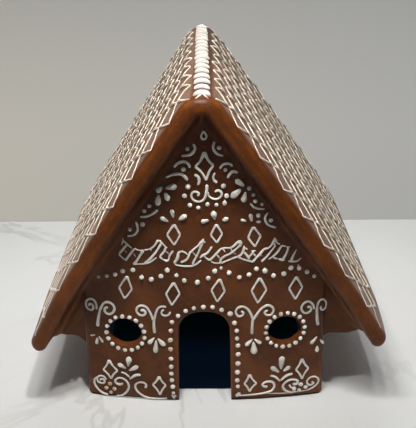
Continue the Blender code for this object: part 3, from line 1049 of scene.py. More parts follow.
GABLE_DOTS = [
    (-11.0, 205.0, 1.3), (8.5, 205.7, 1.5), (-13.8, 191.5, 1.5), (12.5, 190.9, 1.3),
    (-11.2, 179.7, 1.8), (-13.5, 173.3, 1.6), (-10.2, 166.7, 1.6), (-4.7, 164.8, 1.5),
    (1.1, 167.2, 1.5), (6.8, 166.8, 1.4), (12.1, 167.9, 1.6), (13.4, 173.0, 1.6), (11.3, 180.0, 1.7),
    (-40.0, 162.0, 1.3), (-36.5, 165.8, 1.4), (27.7, 178.0, 1.6), (30.5, 173.3, 1.2),
    (31.9, 168.7, 1.3), (36.2, 166.3, 1.1), (42.4, 154.4, 1.4), (-50.3, 148.2, 1.3), (-41.7, 152.2, 1.7),
    (34.1, 158.3, 1.5),
]

UPPER_DIAMONDS = [
    ((-20.9, 152.6), (-17.1, 145.0), (-21.3, 137.2), (-25.7, 144.8)),
    ((6.7, 152.6), (10.6, 145.6), (7.1, 138.9), (3.1, 144.7)),
    ((31.0, 150.0), (36.1, 143.2), (32.5, 135.2), (27.8, 142.0)),
]

LOWER_DIAMONDS = [
    ((-54.9, 111.4), (-52.1, 100.7), (-57.7, 92.6), (-61.0, 101.7)),
    ((-22.6, 107.4), (-18.7, 98.3), (-24.5, 88.6), (-28.2, 97.9)),
    ((9.0, 110.4), (12.6, 100.3), (7.3, 91.6), (3.3, 101.3)),
    ((36.5, 110.3), (41.5, 100.3), (35.8, 89.6), (31.1, 100.0)),
    ((61.9, 109.5), (66.7, 100.7), (62.3, 91.0), (57.3, 100.3)),
]

FESTOON_DOTS = [
    (-75.0, 109.7, 1.3), (-69.1, 110.8, 1.5), (-63.1, 112.4, 1.6), (-57.5, 115.4, 1.8),
    (-50.3, 116.7, 1.8), (-44.7, 111.0, 1.7), (-38.0, 109.7, 1.8), (-31.2, 112.5, 1.8),
    (-26.7, 117.4, 1.8), (-20.5, 113.3, 1.5), (-15.3, 109.2, 1.7), (-6.2, 107.9, 1.8),
    (1.2, 111.1, 1.7), (5.6, 116.8, 1.8), (10.1, 119.2, 1.2), (15.5, 115.1, 1.8),
    (22.5, 111.5, 1.6), (29.1, 113.3, 1.8), (34.0, 117.8, 1.7), (40.0, 115.7, 1.8),
    (45.9, 111.7, 1.7), (53.0, 112.7, 1.8), (57.7, 117.1, 1.8), (63.4, 116.3, 1.6),
    (69.2, 112.8, 1.6), (74.5, 109.0, 1.5),
]

PEAKS = [  # little tips left on dots when the nozzle was pulled away
    ([(-26.7, 117.6), (-26.5, 119.6)], (2.0, 1.0)), ([(-20.5, 113.4), (-20.2, 115.3)], (1.6, 0.8)),
    ([(-44.5, 111.2), (-44.2, 113.2)], (1.8, 0.9)), ([(-37.8, 110.0), (-37.3, 111.7)], (1.8, 0.9)),
    ([(40.0, 115.8), (39.4, 118.0)], (1.8, 0.8)), ([(15.3, 115.3), (14.7, 117.2)], (1.9, 0.9)),
    ([(63.2, 116.4), (62.5, 119.2)], (1.5, 0.7)), ([(45.8, 112.0), (45.6, 113.6)], (1.7, 0.9)),
    ([(12.1, 168.0), (12.2, 170.2)], (1.5, 0.8)), ([(69.0, 113.0), (68.5, 115.0)], (1.4, 0.7)),
]

GARLAND = [  # ribbon of sagging edges and slanting rungs across the gable
    ([(-55.7, 141.3), (-55.2, 139.2), (-53.0, 136.9), (-50.2, 133.9)], (0.6, 1.4, 1.3, 1.0)),
    ([(-55.8, 139.4), (-56.6, 136.0)], (0.9, 0.5)),
    ([(-53.0, 136.6), (-55.5, 133.6), (-58.8, 129.2)], (1.6, 1.8, 1.5)),
    ([(-59.0, 129.0), (-58.4, 127.6), (-55.2, 124.3)], (1.4, 1.1, 0.9)),
    ([(-55.0, 124.1), (-51.8, 128.6), (-49.3, 132.2), (-48.3, 133.6)], (1.9, 1.6, 1.7, 1.3)),
    ([(-54.8, 131.6), (-53.6, 130.2)], (0.8, 0.5)),
    ([(-48.9, 129.6), (-47.9, 127.4)], (0.8, 0.5)),
    ([(-48.2, 133.8), (-46.4, 132.7), (-44.0, 132.3), (-42.0, 132.7)], (1.4, 0.9, 0.8, 1.0)),
    ([(-42.2, 132.6), (-44.6, 128.6), (-47.6, 123.6), (-49.6, 121.4)], (2.2, 1.7, 1.6, 1.8)),
    ([(-41.6, 132.9), (-39.5, 133.0), (-37.4, 133.8), (-34.6, 136.4), (-32.9, 139.0), (-31.7, 140.8)],
     (1.1, 0.9, 1.2, 1.2, 1.4, 2.2)),
    ([(-37.2, 133.5), (-36.6, 132.2)], (1.0, 0.6)),
    ([(-49.8, 121.3), (-46.0, 121.6), (-43.5, 121.8), (-39.6, 122.8), (-35.8, 125.2), (-33.5, 127.2)],
     (1.4, 0.8, 1.0, 1.4, 1.2, 0.7)),
    ([(-42.2, 122.2), (-39.2, 124.8), (-35.6, 129.0), (-32.6, 133.4), (-30.0, 138.2)],
     (1.4, 1.7, 1.7, 1.6, 1.7)),
    ([(-31.3, 140.8), (-29.6, 138.6), (-27.4, 136.0), (-26.0, 134.8)], (1.7, 1.4, 1.1, 0.9)),
    ([(-27.2, 135.2), (-28.0, 132.4), (-31.0, 128.4)], (1.5, 1.4, 1.9)),
    ([(-31.3, 128.2), (-29.8, 126.2), (-26.3, 124.2)], (1.8, 1.0, 1.6)),
    ([(-27.0, 132.2), (-25.2, 130.4)], (0.6, 0.6)),
    ([(-22.2, 132.7), (-24.6, 129.0), (-25.2, 126.4), (-26.4, 124.3)], (1.8, 1.5, 1.2, 1.7)),
    ([(-16.8, 132.5), (-18.7, 130.8), (-19.4, 127.0), (-21.8, 123.0)], (1.5, 2.2, 2.2, 1.8)),
    ([(-16.8, 132.6), (-14.4, 131.6), (-12.6, 129.8)], (1.5, 1.1, 0.9)),
    ([(-21.6, 122.8), (-19.4, 121.4), (-14.0, 120.8), (-9.6, 121.0), (-6.6, 122.6), (-3.3, 125.5)],
     (1.4, 1.1, 1.5, 1.4, 1.4, 1.2)),
    ([(-17.2, 123.8), (-13.8, 125.6), (-12.2, 127.8), (-11.0, 131.2), (-9.8, 132.6)],
     (2.0, 1.5, 1.6, 1.4, 1.9)),
    ([(-9.8, 132.6), (-7.4, 134.8), (-4.6, 137.4), (-2.5, 140.0), (-1.7, 141.8)], (2.1, 1.3, 1.4, 2.5, 1.2)),
    ([(-2.0, 140.4), (-0.6, 138.8)], (1.6, 0.9)),
    ([(-2.7, 139.0), (-4.4, 133.6), (-6.4, 128.6), (-8.6, 124.2), (-9.2, 121.4)], (2.3, 1.3, 1.3, 1.7, 1.4)),
    ([(-9.2, 131.8), (-6.8, 128.8)], (0.9, 0.9)),
    ([(-4.3, 127.0), (-2.4, 129.2), (0.2, 130.6), (2.2, 133.0), (3.8, 135.9)], (0.9, 2.0, 1.7, 1.5, 1.8)),
    ([(-1.8, 129.4), (0.0, 127.0), (2.2, 125.4)], (1.6, 1.3, 1.6)),
    ([(2.2, 125.4), (4.6, 127.8), (7.2, 131.0), (9.6, 134.0), (12.4, 134.7), (16.2, 134.8), (18.6, 136.4),
      (20.8, 138.8), (22.6, 139.4), (23.8, 137.2)], (1.9, 1.4, 1.7, 1.5, 1.2, 1.2, 1.2, 1.9, 2.0, 1.3)),
    ([(6.6, 130.2), (8.8, 127.0)], (1.2, 0.9)),
    ([(11.2, 134.2), (12.6, 131.6)], (1.4, 0.6)),
    ([(3.2, 124.3), (5.8, 123.1), (9.6, 123.1), (13.4, 124.6), (18.4, 126.8), (20.8, 127.9)],
     (1.1, 1.0, 1.3, 1.3, 1.4, 1.6)),
    ([(9.6, 123.4), (9.7, 126.0), (12.6, 128.6), (15.6, 130.0), (17.6, 131.6), (20.2, 134.0), (22.6, 136.6)],
     (1.6, 1.7, 1.4, 1.3, 2.0, 1.4, 1.8)),
    ([(16.4, 134.4), (17.2, 131.8)], (1.2, 1.3)),
    ([(18.0, 131.0), (19.8, 129.8)], (1.0, 0.5)),
    ([(20.8, 138.2), (22.6, 139.0), (23.0, 135.4)], (1.5, 2.3, 1.3)),
    ([(25.3, 136.0), (24.9, 132.6), (23.4, 129.4), (21.0, 127.8)], (0.8, 1.7, 1.4, 1.6)),
    ([(25.4, 134.8), (27.6, 133.1)], (1.6, 0.8)),
    ([(21.0, 128.0), (23.6, 126.2), (27.6, 124.6), (31.8, 123.4)], (1.6, 1.1, 1.5, 1.7)),
    ([(25.2, 131.4), (27.8, 127.8), (28.8, 125.6)], (1.5, 1.9, 1.8)),
    ([(28.6, 127.4), (30.4, 129.4), (31.6, 131.6)], (1.2, 1.2, 1.9)),
    ([(30.2, 132.0), (33.0, 131.9)], (0.9, 0.9)),
    ([(31.8, 129.6), (33.2, 127.6)], (1.4, 1.1)),
    ([(31.4, 123.5), (33.6, 126.4), (36.2, 129.4), (37.2, 131.0), (39.0, 133.0), (41.6, 133.6), (43.6, 135.8),
      (45.0, 138.6), (45.7, 141.2)], (2.1, 1.6, 2.2, 1.9, 1.5, 1.1, 1.3, 2.0, 1.1)),
    ([(35.8, 128.8), (37.6, 127.6)], (1.0, 0.6)),
    ([(45.9, 140.0), (47.2, 137.4), (49.2, 136.0)], (1.8, 1.2, 0.9)),
    ([(44.9, 138.4), (45.6, 136.0), (46.2, 134.2)], (1.8, 1.2, 1.0)),
    ([(37.3, 123.3), (40.6, 127.0), (43.6, 131.2), (45.8, 134.4)], (1.8, 1.6, 1.3, 1.0)),
    ([(42.0, 124.8), (44.8, 126.8), (47.6, 129.8), (49.4, 133.0), (50.6, 135.0)], (0.8, 1.3, 1.7, 1.7, 1.4)),
    ([(45.2, 126.6), (46.4, 125.4), (48.2, 124.9)], (1.8, 1.2, 0.9)),
    ([(48.8, 124.8), (51.4, 123.8), (53.2, 123.8)], (1.2, 2.0, 1.5)),
    ([(51.6, 124.2), (53.6, 127.6), (54.8, 131.6), (54.9, 133.6)], (2.0, 1.6, 1.4, 1.1)),
    ([(50.6, 134.9), (53.2, 134.2)], (1.2, 1.0)),
    ([(53.6, 133.7), (56.4, 133.6)], (0.8, 0.6)),
    ([(55.6, 122.5), (58.6, 122.0), (61.8, 122.2), (64.4, 124.4)], (1.0, 1.4, 1.1, 0.8)),
    ([(57.6, 122.8), (58.8, 126.8), (60.8, 131.4)], (2.0, 1.3, 0.7)),
]

LEFT_STROKES = [
    ([(-78.9, 81.8), (-78.8, 86.2), (-80.2, 89.6), (-82.8, 90.5), (-85.6, 88.6), (-86.5, 85.0),
      (-85.2, 81.6), (-82.8, 80.9), (-81.2, 82.8), (-81.8, 85.8), (-83.8, 86.0), (-84.0, 84.3)],
     (1.5, 1.8, 1.7, 1.7)),
    ([(-79.4, 67.0), (-78.9, 71.0), (-77.8, 76.0), (-76.2, 82.0), (-73.4, 87.3), (-70.0, 88.8),
      (-66.8, 87.0), (-65.8, 83.4), (-67.6, 79.6), (-70.6, 78.4), (-73.0, 80.4), (-72.4, 83.6),
      (-70.4, 84.2)], (2.4, 1.9, 1.7, 1.8, 1.7)),
    ([(-38.6, 75.2), (-39.8, 80.5), (-42.2, 85.6), (-45.6, 87.5), (-48.9, 86.0), (-49.9, 82.6),
      (-48.0, 79.5), (-45.0, 79.2), (-43.6, 81.6), (-45.2, 83.8), (-46.8, 82.8)], (1.5, 1.8, 1.7, 1.7)),
    ([(-37.9, 63.9), (-37.9, 73.6), (-36.3, 81.0), (-34.3, 85.7), (-31.6, 87.3), (-28.6, 87.0)],
     (2.4, 1.9, 1.6, 1.5)),
    ([(-30.4, 84.6), (-32.0, 82.9), (-31.8, 80.4), (-29.6, 79.3), (-27.0, 80.4), (-25.9, 82.9)],
     (1.3, 1.5, 1.4)),
    drop((-82.2, 58.6), (-85.2, 57.8), 1.3, 0.9), drop((-80.7, 56.2), (-81.4, 52.0), 2.8, 0.7),
    drop((-79.4, 57.6), (-77.3, 53.6), 2.2, 0.9),
    drop((-38.2, 59.6), (-41.6, 55.8), 3.3, 0.8), drop((-37.1, 57.1), (-37.8, 48.4), 3.9, 0.8),
    drop((-35.7, 58.9), (-32.0, 54.2), 3.6, 0.9),
    drop((-59.4, 31.4), (-58.3, 38.6), 4.2, 0.9), drop((-61.1, 29.3), (-65.4, 32.6), 3.4, 0.9),
    drop((-58.9, 27.5), (-53.4, 31.4), 3.6, 1.0),
    ([(-65.0, 25.4), (-61.8, 24.2), (-58.9, 21.0)], (1.4, 1.6, 1.3)),
    ([(-50.4, 24.2), (-54.6, 23.2), (-58.9, 19.2)], (2.0, 2.0, 1.3)),
    ([(-82.4, 15.6), (-80.9, 16.9), (-79.2, 16.6), (-78.9, 14.0), (-80.8, 12.8), (-84.0, 14.0),
      (-84.2, 17.6), (-82.0, 19.9), (-79.0, 19.6), (-77.3, 16.8)], (1.5, 1.4, 1.3)),
    ([(-84.1, 18.6), (-86.6, 15.6), (-86.9, 12.0), (-85.6, 8.2), (-83.0, 4.6), (-80.2, 2.7),
      (-77.0, 1.9)], (1.5, 1.6, 1.8)),
    ([(-64.6, 14.6), (-66.4, 13.4), (-69.4, 14.0), (-70.3, 16.8), (-67.4, 19.6), (-63.6, 19.0),
      (-60.8, 15.6), (-60.2, 11.0), (-62.2, 6.2), (-66.0, 2.6), (-70.8, 1.2)], (2.2, 1.5, 1.6, 1.7, 1.5)),
    ([(-47.6, 11.6), (-46.6, 14.2), (-48.2, 16.4), (-51.6, 16.6), (-54.6, 14.4), (-55.0, 11.0),
      (-53.4, 7.2), (-49.6, 3.6), (-44.6, 1.5), (-38.0, 1.2), (-31.2, 2.0)], (1.8, 1.5, 1.6, 1.6, 1.2)),
    ([(-26.0, 3.4), (-24.2, 5.6)], (2.0, 1.3)), ([(-27.2, 5.8), (-25.4, 1.2)], (1.6, 1.0)),
    ([(-74.0, 0.9), (-60.0, 0.9), (-46.0, 0.8)], (0.5, 0.8, 0.5)),
]

LEFT_DIAMONDS = [
    ((-73.6, 36.2), (-67.8, 26.5), (-73.4, 18.2), (-78.8, 26.5)),
    ((-36.4, 23.4), (-31.6, 15.0), (-36.4, 5.4), (-41.6, 15.0)),
]

LEFT_DOTS = [
    (-25.0, 73.9, 1.8), (-25.9, 66.3, 1.8), (-26.6, 57.9, 1.9), (-26.8, 49.6, 1.9), (-26.8, 40.9, 1.8),
    (-26.8, 33.4, 1.9), (-27.0, 26.6, 1.8), (-26.8, 20.4, 1.7), (-26.3, 14.1, 1.9), (-26.1, 7.9, 1.4),
    (-20.4, 79.6, 1.7), (-14.9, 83.8, 1.6), (-9.1, 86.3, 1.6), (-2.4, 87.3, 1.8),
    (-74.6, 13.2, 1.6), (-77.9, 8.6, 1.6), (-71.6, 8.4, 1.6), (-74.6, 4.6, 1.5),
]

RIGHT_STROKES = [
    ([(32.7, 75.4), (31.2, 80.2), (28.6, 84.9), (25.0, 87.1), (21.6, 85.8), (20.4, 82.4), (22.2, 79.0),
      (24.8, 79.4), (25.8, 81.6), (24.2, 83.2)], (1.9, 1.8, 1.6, 1.7)),
    ([(32.9, 75.4), (35.0, 79.2), (38.4, 84.6), (42.6, 87.2), (46.0, 85.6), (47.1, 82.1), (45.2, 78.9),
      (42.2, 79.0), (40.9, 81.4), (42.9, 83.2)], (1.9, 1.8, 1.6, 1.7)),
    ([(32.6, 76.6), (32.3, 69.0), (32.3, 62.8)], (2.0, 1.9, 2.2)),
    drop((32.9, 58.2), (29.2, 54.1), 3.4, 0.8), drop((33.6, 55.7), (34.2, 47.4), 4.4, 0.9),
    drop((34.3, 57.9), (37.8, 55.2), 3.2, 0.9),
    ([(76.4, 81.1), (75.3, 85.0), (72.2, 88.0), (68.8, 87.0), (67.1, 83.0), (68.6, 79.2), (71.6, 78.2),
      (74.2, 80.6), (73.2, 83.4), (71.2, 83.2)], (1.4, 1.7, 1.6, 1.8)),
    ([(80.4, 66.8), (79.4, 71.0), (78.9, 75.6), (78.4, 82.0), (79.6, 87.4), (82.2, 88.9), (84.6, 86.6),
      (84.9, 82.4), (83.2, 79.8), (81.3, 80.8), (81.5, 83.0)], (2.3, 1.9, 1.6, 1.6, 1.6)),
    drop((80.4, 56.1), (77.0, 51.4), 2.9, 0.8), drop((82.9, 53.2), (85.0, 50.2), 2.3, 0.8),
    drop((81.1, 47.5), (81.2, 44.0), 3.2, 0.9),
    drop((55.0, 28.6), (55.1, 38.4), 4.6, 1.0), drop((53.6, 25.7), (48.9, 30.2), 3.6, 1.0),
    drop((56.8, 26.6), (60.2, 29.6), 3.4, 1.1),
    ([(47.1, 22.9), (51.0, 21.4), (54.6, 17.1)], (1.4, 1.8, 1.4)),
    ([(63.9, 23.4), (59.4, 22.0), (55.2, 17.6)], (2.0, 2.0, 1.4)),
    ([(45.3, 12.6), (42.6, 12.9), (41.5, 15.0), (44.2, 17.2), (48.6, 16.8), (50.6, 13.4), (49.6, 9.4),
      (45.7, 6.9), (37.0, 5.5), (29.0, 5.0), (22.9, 5.0)], (2.2, 1.7, 1.8, 1.9, 1.6, 1.2, 1.1)),
    ([(64.6, 13.2), (67.4, 13.0), (68.4, 15.4), (66.2, 17.2), (62.1, 17.4), (58.4, 14.6), (57.3, 11.0),
      (59.5, 7.0), (63.4, 4.9), (67.4, 5.6)], (2.2, 1.6, 1.9, 2.0, 1.5)),
    ([(62.0, 12.6), (63.8, 9.6), (66.6, 9.9)], (1.5, 1.5, 1.3)),
    ([(79.4, 13.6), (80.8, 11.6), (78.0, 10.4), (75.9, 12.4), (75.9, 15.4), (78.2, 18.0), (81.6, 18.2),
      (84.3, 15.6), (84.2, 11.6), (81.2, 8.0), (76.8, 5.6)], (1.7, 1.4, 1.4, 1.4, 1.2)),
    ([(24.6, 7.6), (21.6, 4.6)], (3.2, 2.6)),
    ([(46.0, 5.4), (60.0, 4.6), (78.0, 5.4)], (0.6, 0.9, 0.6)),
]

RIGHT_DIAMONDS = [
    ((70.4, 36.8), (75.9, 27.2), (71.6, 17.4), (66.3, 26.8)),
    ((31.4, 25.2), (36.9, 16.4), (31.8, 8.6), (27.7, 16.4)),
]

RIGHT_DOTS = [
    (4.1, 87.1, 1.7), (10.5, 84.6, 1.7), (16.4, 81.2, 2.1), (19.6, 73.2, 1.7), (21.3, 66.3, 1.7),
    (21.6, 59.3, 1.7), (22.4, 52.9, 1.8), (22.7, 44.8, 1.9), (22.6, 36.3, 2.0), (22.3, 28.1, 1.9),
    (22.3, 20.0, 1.8), (22.9, 14.1, 1.6), (70.9, 12.1, 1.8), (74.9, 8.9, 1.7), (70.0, 6.4, 1.6),
    (66.1, 8.2, 1.7),
]

# Where the icing has worn: u, v, reach, strength
WORN = [(-74.6, 13.2, 3.0, 0.9), (-77.9, 8.6, 3.0, 0.8), (-71.6, 8.4, 3.0, 0.8), (-74.6, 4.6, 3.0, 0.9),
        (-26.8, 49.6, 3.0, 0.7), (-25.9, 66.3, 3.0, 0.5), (-25.0, 73.9, 3.0, 0.4), (-26.6, 57.9, 3.0, 0.4),
        (-64.6, 14.6, 2.4, 0.7), (-64.0, 48.0, 3.0, 0.3), (57.0, 50.0, 3.0, 0.35), (78.8, 84.0, 2.2, 0.3),
        (80.0, 14.0, 2.5, 0.3)]

MEDALLION = [drop((0.0, 1.6), (0.0, 6.6), 3.8, 0.9), drop((1.6, 0.0), (6.0, 0.0), 3.6, 0.9),
             drop((0.0, -1.6), (0.0, -6.6), 3.8, 0.9), drop((-1.6, 0.0), (-6.0, 0.0), 3.6, 0.9)]
GABLE_DIAMOND = ((-0.6, 203.0), (5.0, 194.0), (0.5, 184.2), (-6.3, 193.3))
BACK_DIAMOND = ((-1.9, 62.0), (8.1, 42.0), (-1.9, 22.0), (-11.9, 42.0))
RING_CENTRES = [(-59.3, 62.0), (56.4, 64.6)]
BESIDE_DOOR = 28.0


def decorate_walls():
    """Icing on the front wall, and a like pattern without a door and windows behind."""
    upper = GABLE_STROKES + GARLAND + PEAKS
    upper = upper + diamonds(UPPER_DIAMONDS, 1.45, -0.04) + diamonds(LOWER_DIAMONDS, 1.5, -0.03)
    upper = upper + diamond(*GABLE_DIAMOND, 1.6, 0.16)
    lower = LEFT_STROKES + RIGHT_STROKES + diamonds(LEFT_DIAMONDS + RIGHT_DIAMONDS, 1.5, 0.12)
    left_ring = ring_of_dots(*RING_CENTRES[0], 14.0, 15.2, 17, 1.65, 0.18)
    rings = left_ring + ring_of_dots(*RING_CENTRES[1], 14.1, 15.0, 18, 1.65, 0.10)
    upper_dots = GABLE_DOTS + FESTOON_DOTS
    lower_dots = LEFT_DOTS + RIGHT_DOTS
    pipe("front_gable_piping", front_wall, upper)
    pipe("front_lower_piping", front_wall, lower, WORN)
    dots("front_dots", front_wall, upper_dots + lower_dots + rings, 3, worn=WORN)

    pipe("back_gable_piping", back_wall, upper)
    plain = lower + moved(MEDALLION, *RING_CENTRES[0]) + moved(MEDALLION, *RING_CENTRES[1])
    plain = plain + diamond(*BACK_DIAMOND, 1.7, 0.12) + moved(MEDALLION, -1.9, 42.0)
    pipe("back_lower_piping", back_wall, plain)
    plain_dots = [spot for spot in lower_dots if abs(spot[0]) > BESIDE_DOOR]
    dots("back_dots", back_wall, upper_dots + plain_dots + rings, 5)


def decorate_sides():
    """A quiet repeat of the front's diamonds, drops and dots under each eave."""
    strokes, spots = [], []
    for u in (-63.0, -21.0, 21.0, 63.0):
        strokes += diamond((u, 38.5), (u + 5.2, 28.5), (u, 18.5), (u - 5.2, 28.5), 1.5, 0.08)
    for u in (-42.0, 0.0, 42.0):
        strokes += [drop((u, 23.0), (u, 31.5), 4.0, 0.9), drop((u - 2.2, 22.0), (u - 6.6, 26.5), 3.3, 0.9),
                    drop((u + 2.2, 22.0), (u + 6.6, 26.5), 3.3, 0.9)]
        spots.append((u, 16.5, 1.6))
    for number in range(17):
        u = -72.0 + 9.0 * number
        spots.append((u, 45.0 - 2.2 * abs(sin(pi * number / 4.0)), 1.65))
        spots.append((u, 8.0, 1.55))
    for side, word in ((-1, "left"), (1, "right")):
        pipe(word + "_side_piping", side_wall(side), strokes)
        dots(word + "_side_dots", side_wall(side), spots, 7 + side)


decorate_walls()
decorate_sides()

# ---------------------------------------------------------------- roof lattice

# Where the lattice crosses: rows down the front rim, columns along the depth, for each slope.
# The right rows from 29.2 to 184.7 came out of a projection program and weren't set by hand.
ROWS = {-1: [7.6, 26.6, 46.4, 69.0, 91.6, 114.8, 139.0, 166.0, 190.0, 206.6],
        1: [8.2, 29.2, 53.0, 79.0, 102.0, 127.4, 155.4, 184.7, 206.6]}
COLUMNS = {-1: [3.3, 33.0, 56.0, 82.0, 107.0, 133.0, 158.0, 183.0, 207.0, ROOF_DEPTH - 2.6],
           1: [4.0, 28.0, 50.5, 72.0, 95.0, 121.0, 148.0, 174.0, 200.0, ROOF_DEPTH - 2.6]}
SHOULDER = SLAB_HALF + 0.8


def lattice_strokes(side):
    """Diamond lattice: short thick strokes one way, long thin ones the other."""
    rows, columns = ROWS[side], COLUMNS[side]

    def uneven(a, b, salt):
        return noise.noise(Vector((a * 1.7 + 3.1, b * 2.3 + 1.7, salt + side * 5.0)))

    def outer(k, j):
        """Crossing on row k and column j, exact on both rims."""
        if j == 0:
            return Vector((columns[0] + (1.6 if k == 0 else 0.5), rows[k]))
        if j == len(columns) - 1:
            return Vector((columns[j], rows[k]))
        return Vector((columns[j] + 2.2 * uneven(k, j, 0.2), rows[k] + 1.8 * uneven(k, j, 4.4)))

    def inner(k, j):
        """Crossing in the middle of four outer ones."""
        share, pull = (0.6, 0.35) if j == 0 else (0.52, 0.6)
        a, b = outer(k, j), outer(k + 1, j + 1)
        c, d = outer(k, j + 1), outer(k + 1, j)
        return a.lerp(b, share).lerp((c + d) / 2, pull)

    def dash(a, b):
        """Short thick stroke: thin at the crossing, level at first, then drooping to its end."""
        over = Vector((0.71, -0.71)) * min(1.2, (b - a).length * 0.08)
        return ([a, a.lerp(b, 0.34) + over * 0.6, a.lerp(b, 0.70) + over, b], (1.0, 1.9, 2.3, 2.0, 0.95))

    def from_rim(a, b):
        """First dash of a row, which starts thin on the rim."""
        knee = Vector((SHOULDER, a.y + (b.y - a.y) * 0.36))
        return ([a, knee, a.lerp(b, 0.75) + Vector((0.3, -0.3)), b], (1.0, 1.6, 1.8, 0.95))

    def to_rim(a, b):
        """Last part of a long line, which bends over the rim's shoulder."""
        return [a.lerp(b, 0.3), Vector((SHOULDER, b.y - (b.y - a.y) * 0.52)), b]

    strokes = []
    for k in range(len(rows) - 1):
        for j in range(len(columns) - 1):
            a, middle, b = outer(k, j), inner(k, j), outer(k + 1, j + 1)
            strokes.append(from_rim(a, middle) if j == 0 else dash(a, middle))
            strokes.append(dash(middle, b))
            c, d = outer(k, j + 1), outer(k + 1, j)
            if j == 0:
                thin = 0.9 if k < 5 else 0.6
                strokes.append(([c, middle] + to_rim(middle, d), (0.95, 0.95, 0.9, thin, thin)))
            else:
                strokes.append(([c, middle, d], (1.05, 0.9, 1.05)))
    return strokes


for side, word in ((-1, "left"), (1, "right")):
    pipe("roof_lattice_" + word, roof(side), lattice_strokes(side), step=2.2, sides=8, lift=0.55)

# ---------------------------------------------------------------- ridge dabs


DAB_AROUND = 28
DAB_HALF_WIDE = 5.05
DAB_LONG = 4.2
DAB_HIGH = 2.15
DAB_LEVELS = ((1.0, -0.25), (1.0, 0.20), (0.94, 0.52), (0.80, 0.80), (0.60, 0.95), (0.35, 1.0))


def dab_shape():
    """One half-moon dab, its hollow side to the front, as a flat mesh of height over a footprint."""
    bm = bmesh.new()
    rows = []
    for share, lift in DAB_LEVELS:
        row = []
        for i in range(DAB_AROUND):
            angle = 2 * pi * i / DAB_AROUND
            x = cos(angle)
            if sin(angle) >= 0:
                y = 1.28 * sin(angle) ** 0.9
            else:
                y = -0.26 * (-sin(angle)) ** 0.7
            y = (y - 0.40 * x * x) * share + 0.10 * (1 - share)
            row.append(bm.verts.new((DAB_HALF_WIDE * x * share, DAB_LONG * y, DAB_HIGH * lift)))
        rows.append(row)
    bridge(bm, rows)
    crown = bm.verts.new((0.0, 0.1, DAB_HIGH + 0.05))
    for i in range(DAB_AROUND):
        bm.faces.new((rows[-1][i], rows[-1][(i + 1) % DAB_AROUND], crown))
    bm.faces.new(list(reversed(rows[0])))
    return link("dab", to_mesh(bm, "dab"))


def dab_row_tree():
    """Repeats one dab at every point with small changes of size and turn."""
    tree, m, sock = new_tree("dab_row", [("Dab", "Object"), ("Seed", "Int"), ("Icing", "Material")])
    info = m.node("GeometryNodeObjectInfo", None, Object=sock["Dab"])
    size = m.node("FunctionNodeRandomValue", {"data_type": "FLOAT_VECTOR"}, i0=(0.93, 0.92, 0.82),
                  i1=(1.05, 1.06, 0.97), Seed=sock["Seed"])
    turn = m.node("FunctionNodeRandomValue", {"data_type": "FLOAT_VECTOR"}, i0=(0.0, 0.0, -0.09),
                  i1=(0.0, 0.0, 0.09), Seed=sock["Seed"])
    spread = m.node("GeometryNodeInstanceOnPoints", None, Points=sock["Geometry"],
                    Instance=info.outputs["Geometry"], Rotation=turn.outputs[0], Scale=size.outputs[0])
    finish_tree(m, spread.outputs[0], sock["Icing"])
    return tree


def over_ridge(u, v, h):
    """Ridge surface: u across, v along the depth."""
    angle = u / RIDGE_ROUND
    radius = RIDGE_ROUND + h
    lean = RIDGE_LEAN * v / ROOF_DEPTH
    return Vector((RIDGE_CENTRE.x + lean + radius * sin(angle), FRONT_Y + v,
                   RIDGE_CENTRE.y + radius * cos(angle)))


def build_ridge():
    """The row of dabs over the ridge, a few of them worn at the left."""
    shape = dab_shape()
    mesh = bpy.data.meshes.new("ridge_icing")
    mesh.from_pydata([(0.0, DAB_FIRST + DAB_STEP * i, 0.2) for i in range(DAB_COUNT)], [], [])
    made = grown(link("ridge_icing", mesh), dab_row_tree(), {"Dab": shape, "Seed": 4})
    discard(shape)
    worn = [(-5.0, DAB_FIRST + DAB_STEP * i, 3.0, 0.35) for i in (0, 4, 5, 6)]
    piece = lay("ridge_icing", made, over_ridge, worn)
    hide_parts(*["ridge_dab_%02d" % number for number in range(1, DAB_COUNT + 1)])


def build_ridge_ends():
    """Two fine strokes that run down from the first dab, and the last drop at the far end."""
    for side, word in ((-1, "left"), (1, "right")):
        pipe("ridge_start_" + word, roof(side), [([(6.4, 0.5), (4.8, 2.2), (3.6, 3.9)], (1.3, 0.9, 0.5))])
    dots("ridge_finish", over_ridge, [(0.0, ROOF_DEPTH - 4.6, 3.9)], 2, height=0.4)


build_ridge()
build_ridge_ends()

# ---------------------------------------------------------------- camera, floor and light


# mat that stands in for the deep shade inside the walls
SHADE_MAT_HALF = (0.082, 0.088)
SHADE_MAT_X = -0.002
SHADE_MAT_Z = 0.0003
WORKTOP_REACH = 3.0
WORKTOP_BACK_Y = 0.200
BACKDROP_Y = 1.3
BACKDROP_Z = (-1.5, 2.6)


def staged(name, corners, material):
    """One flat piece of the stage."""
    mesh = bpy.data.meshes.new(name)
    mesh.from_pydata(corners, [], [(0, 1, 2, 3)])
    mesh.materials.append(material)
    obj = link(name, mesh)


def flat_corners(low_x, low_y, high_x, high_y, z):
    """Corners of a level rectangle."""
    return [(low_x, low_y, z), (high_x, low_y, z), (high_x, high_y, z), (low_x, high_y, z)]


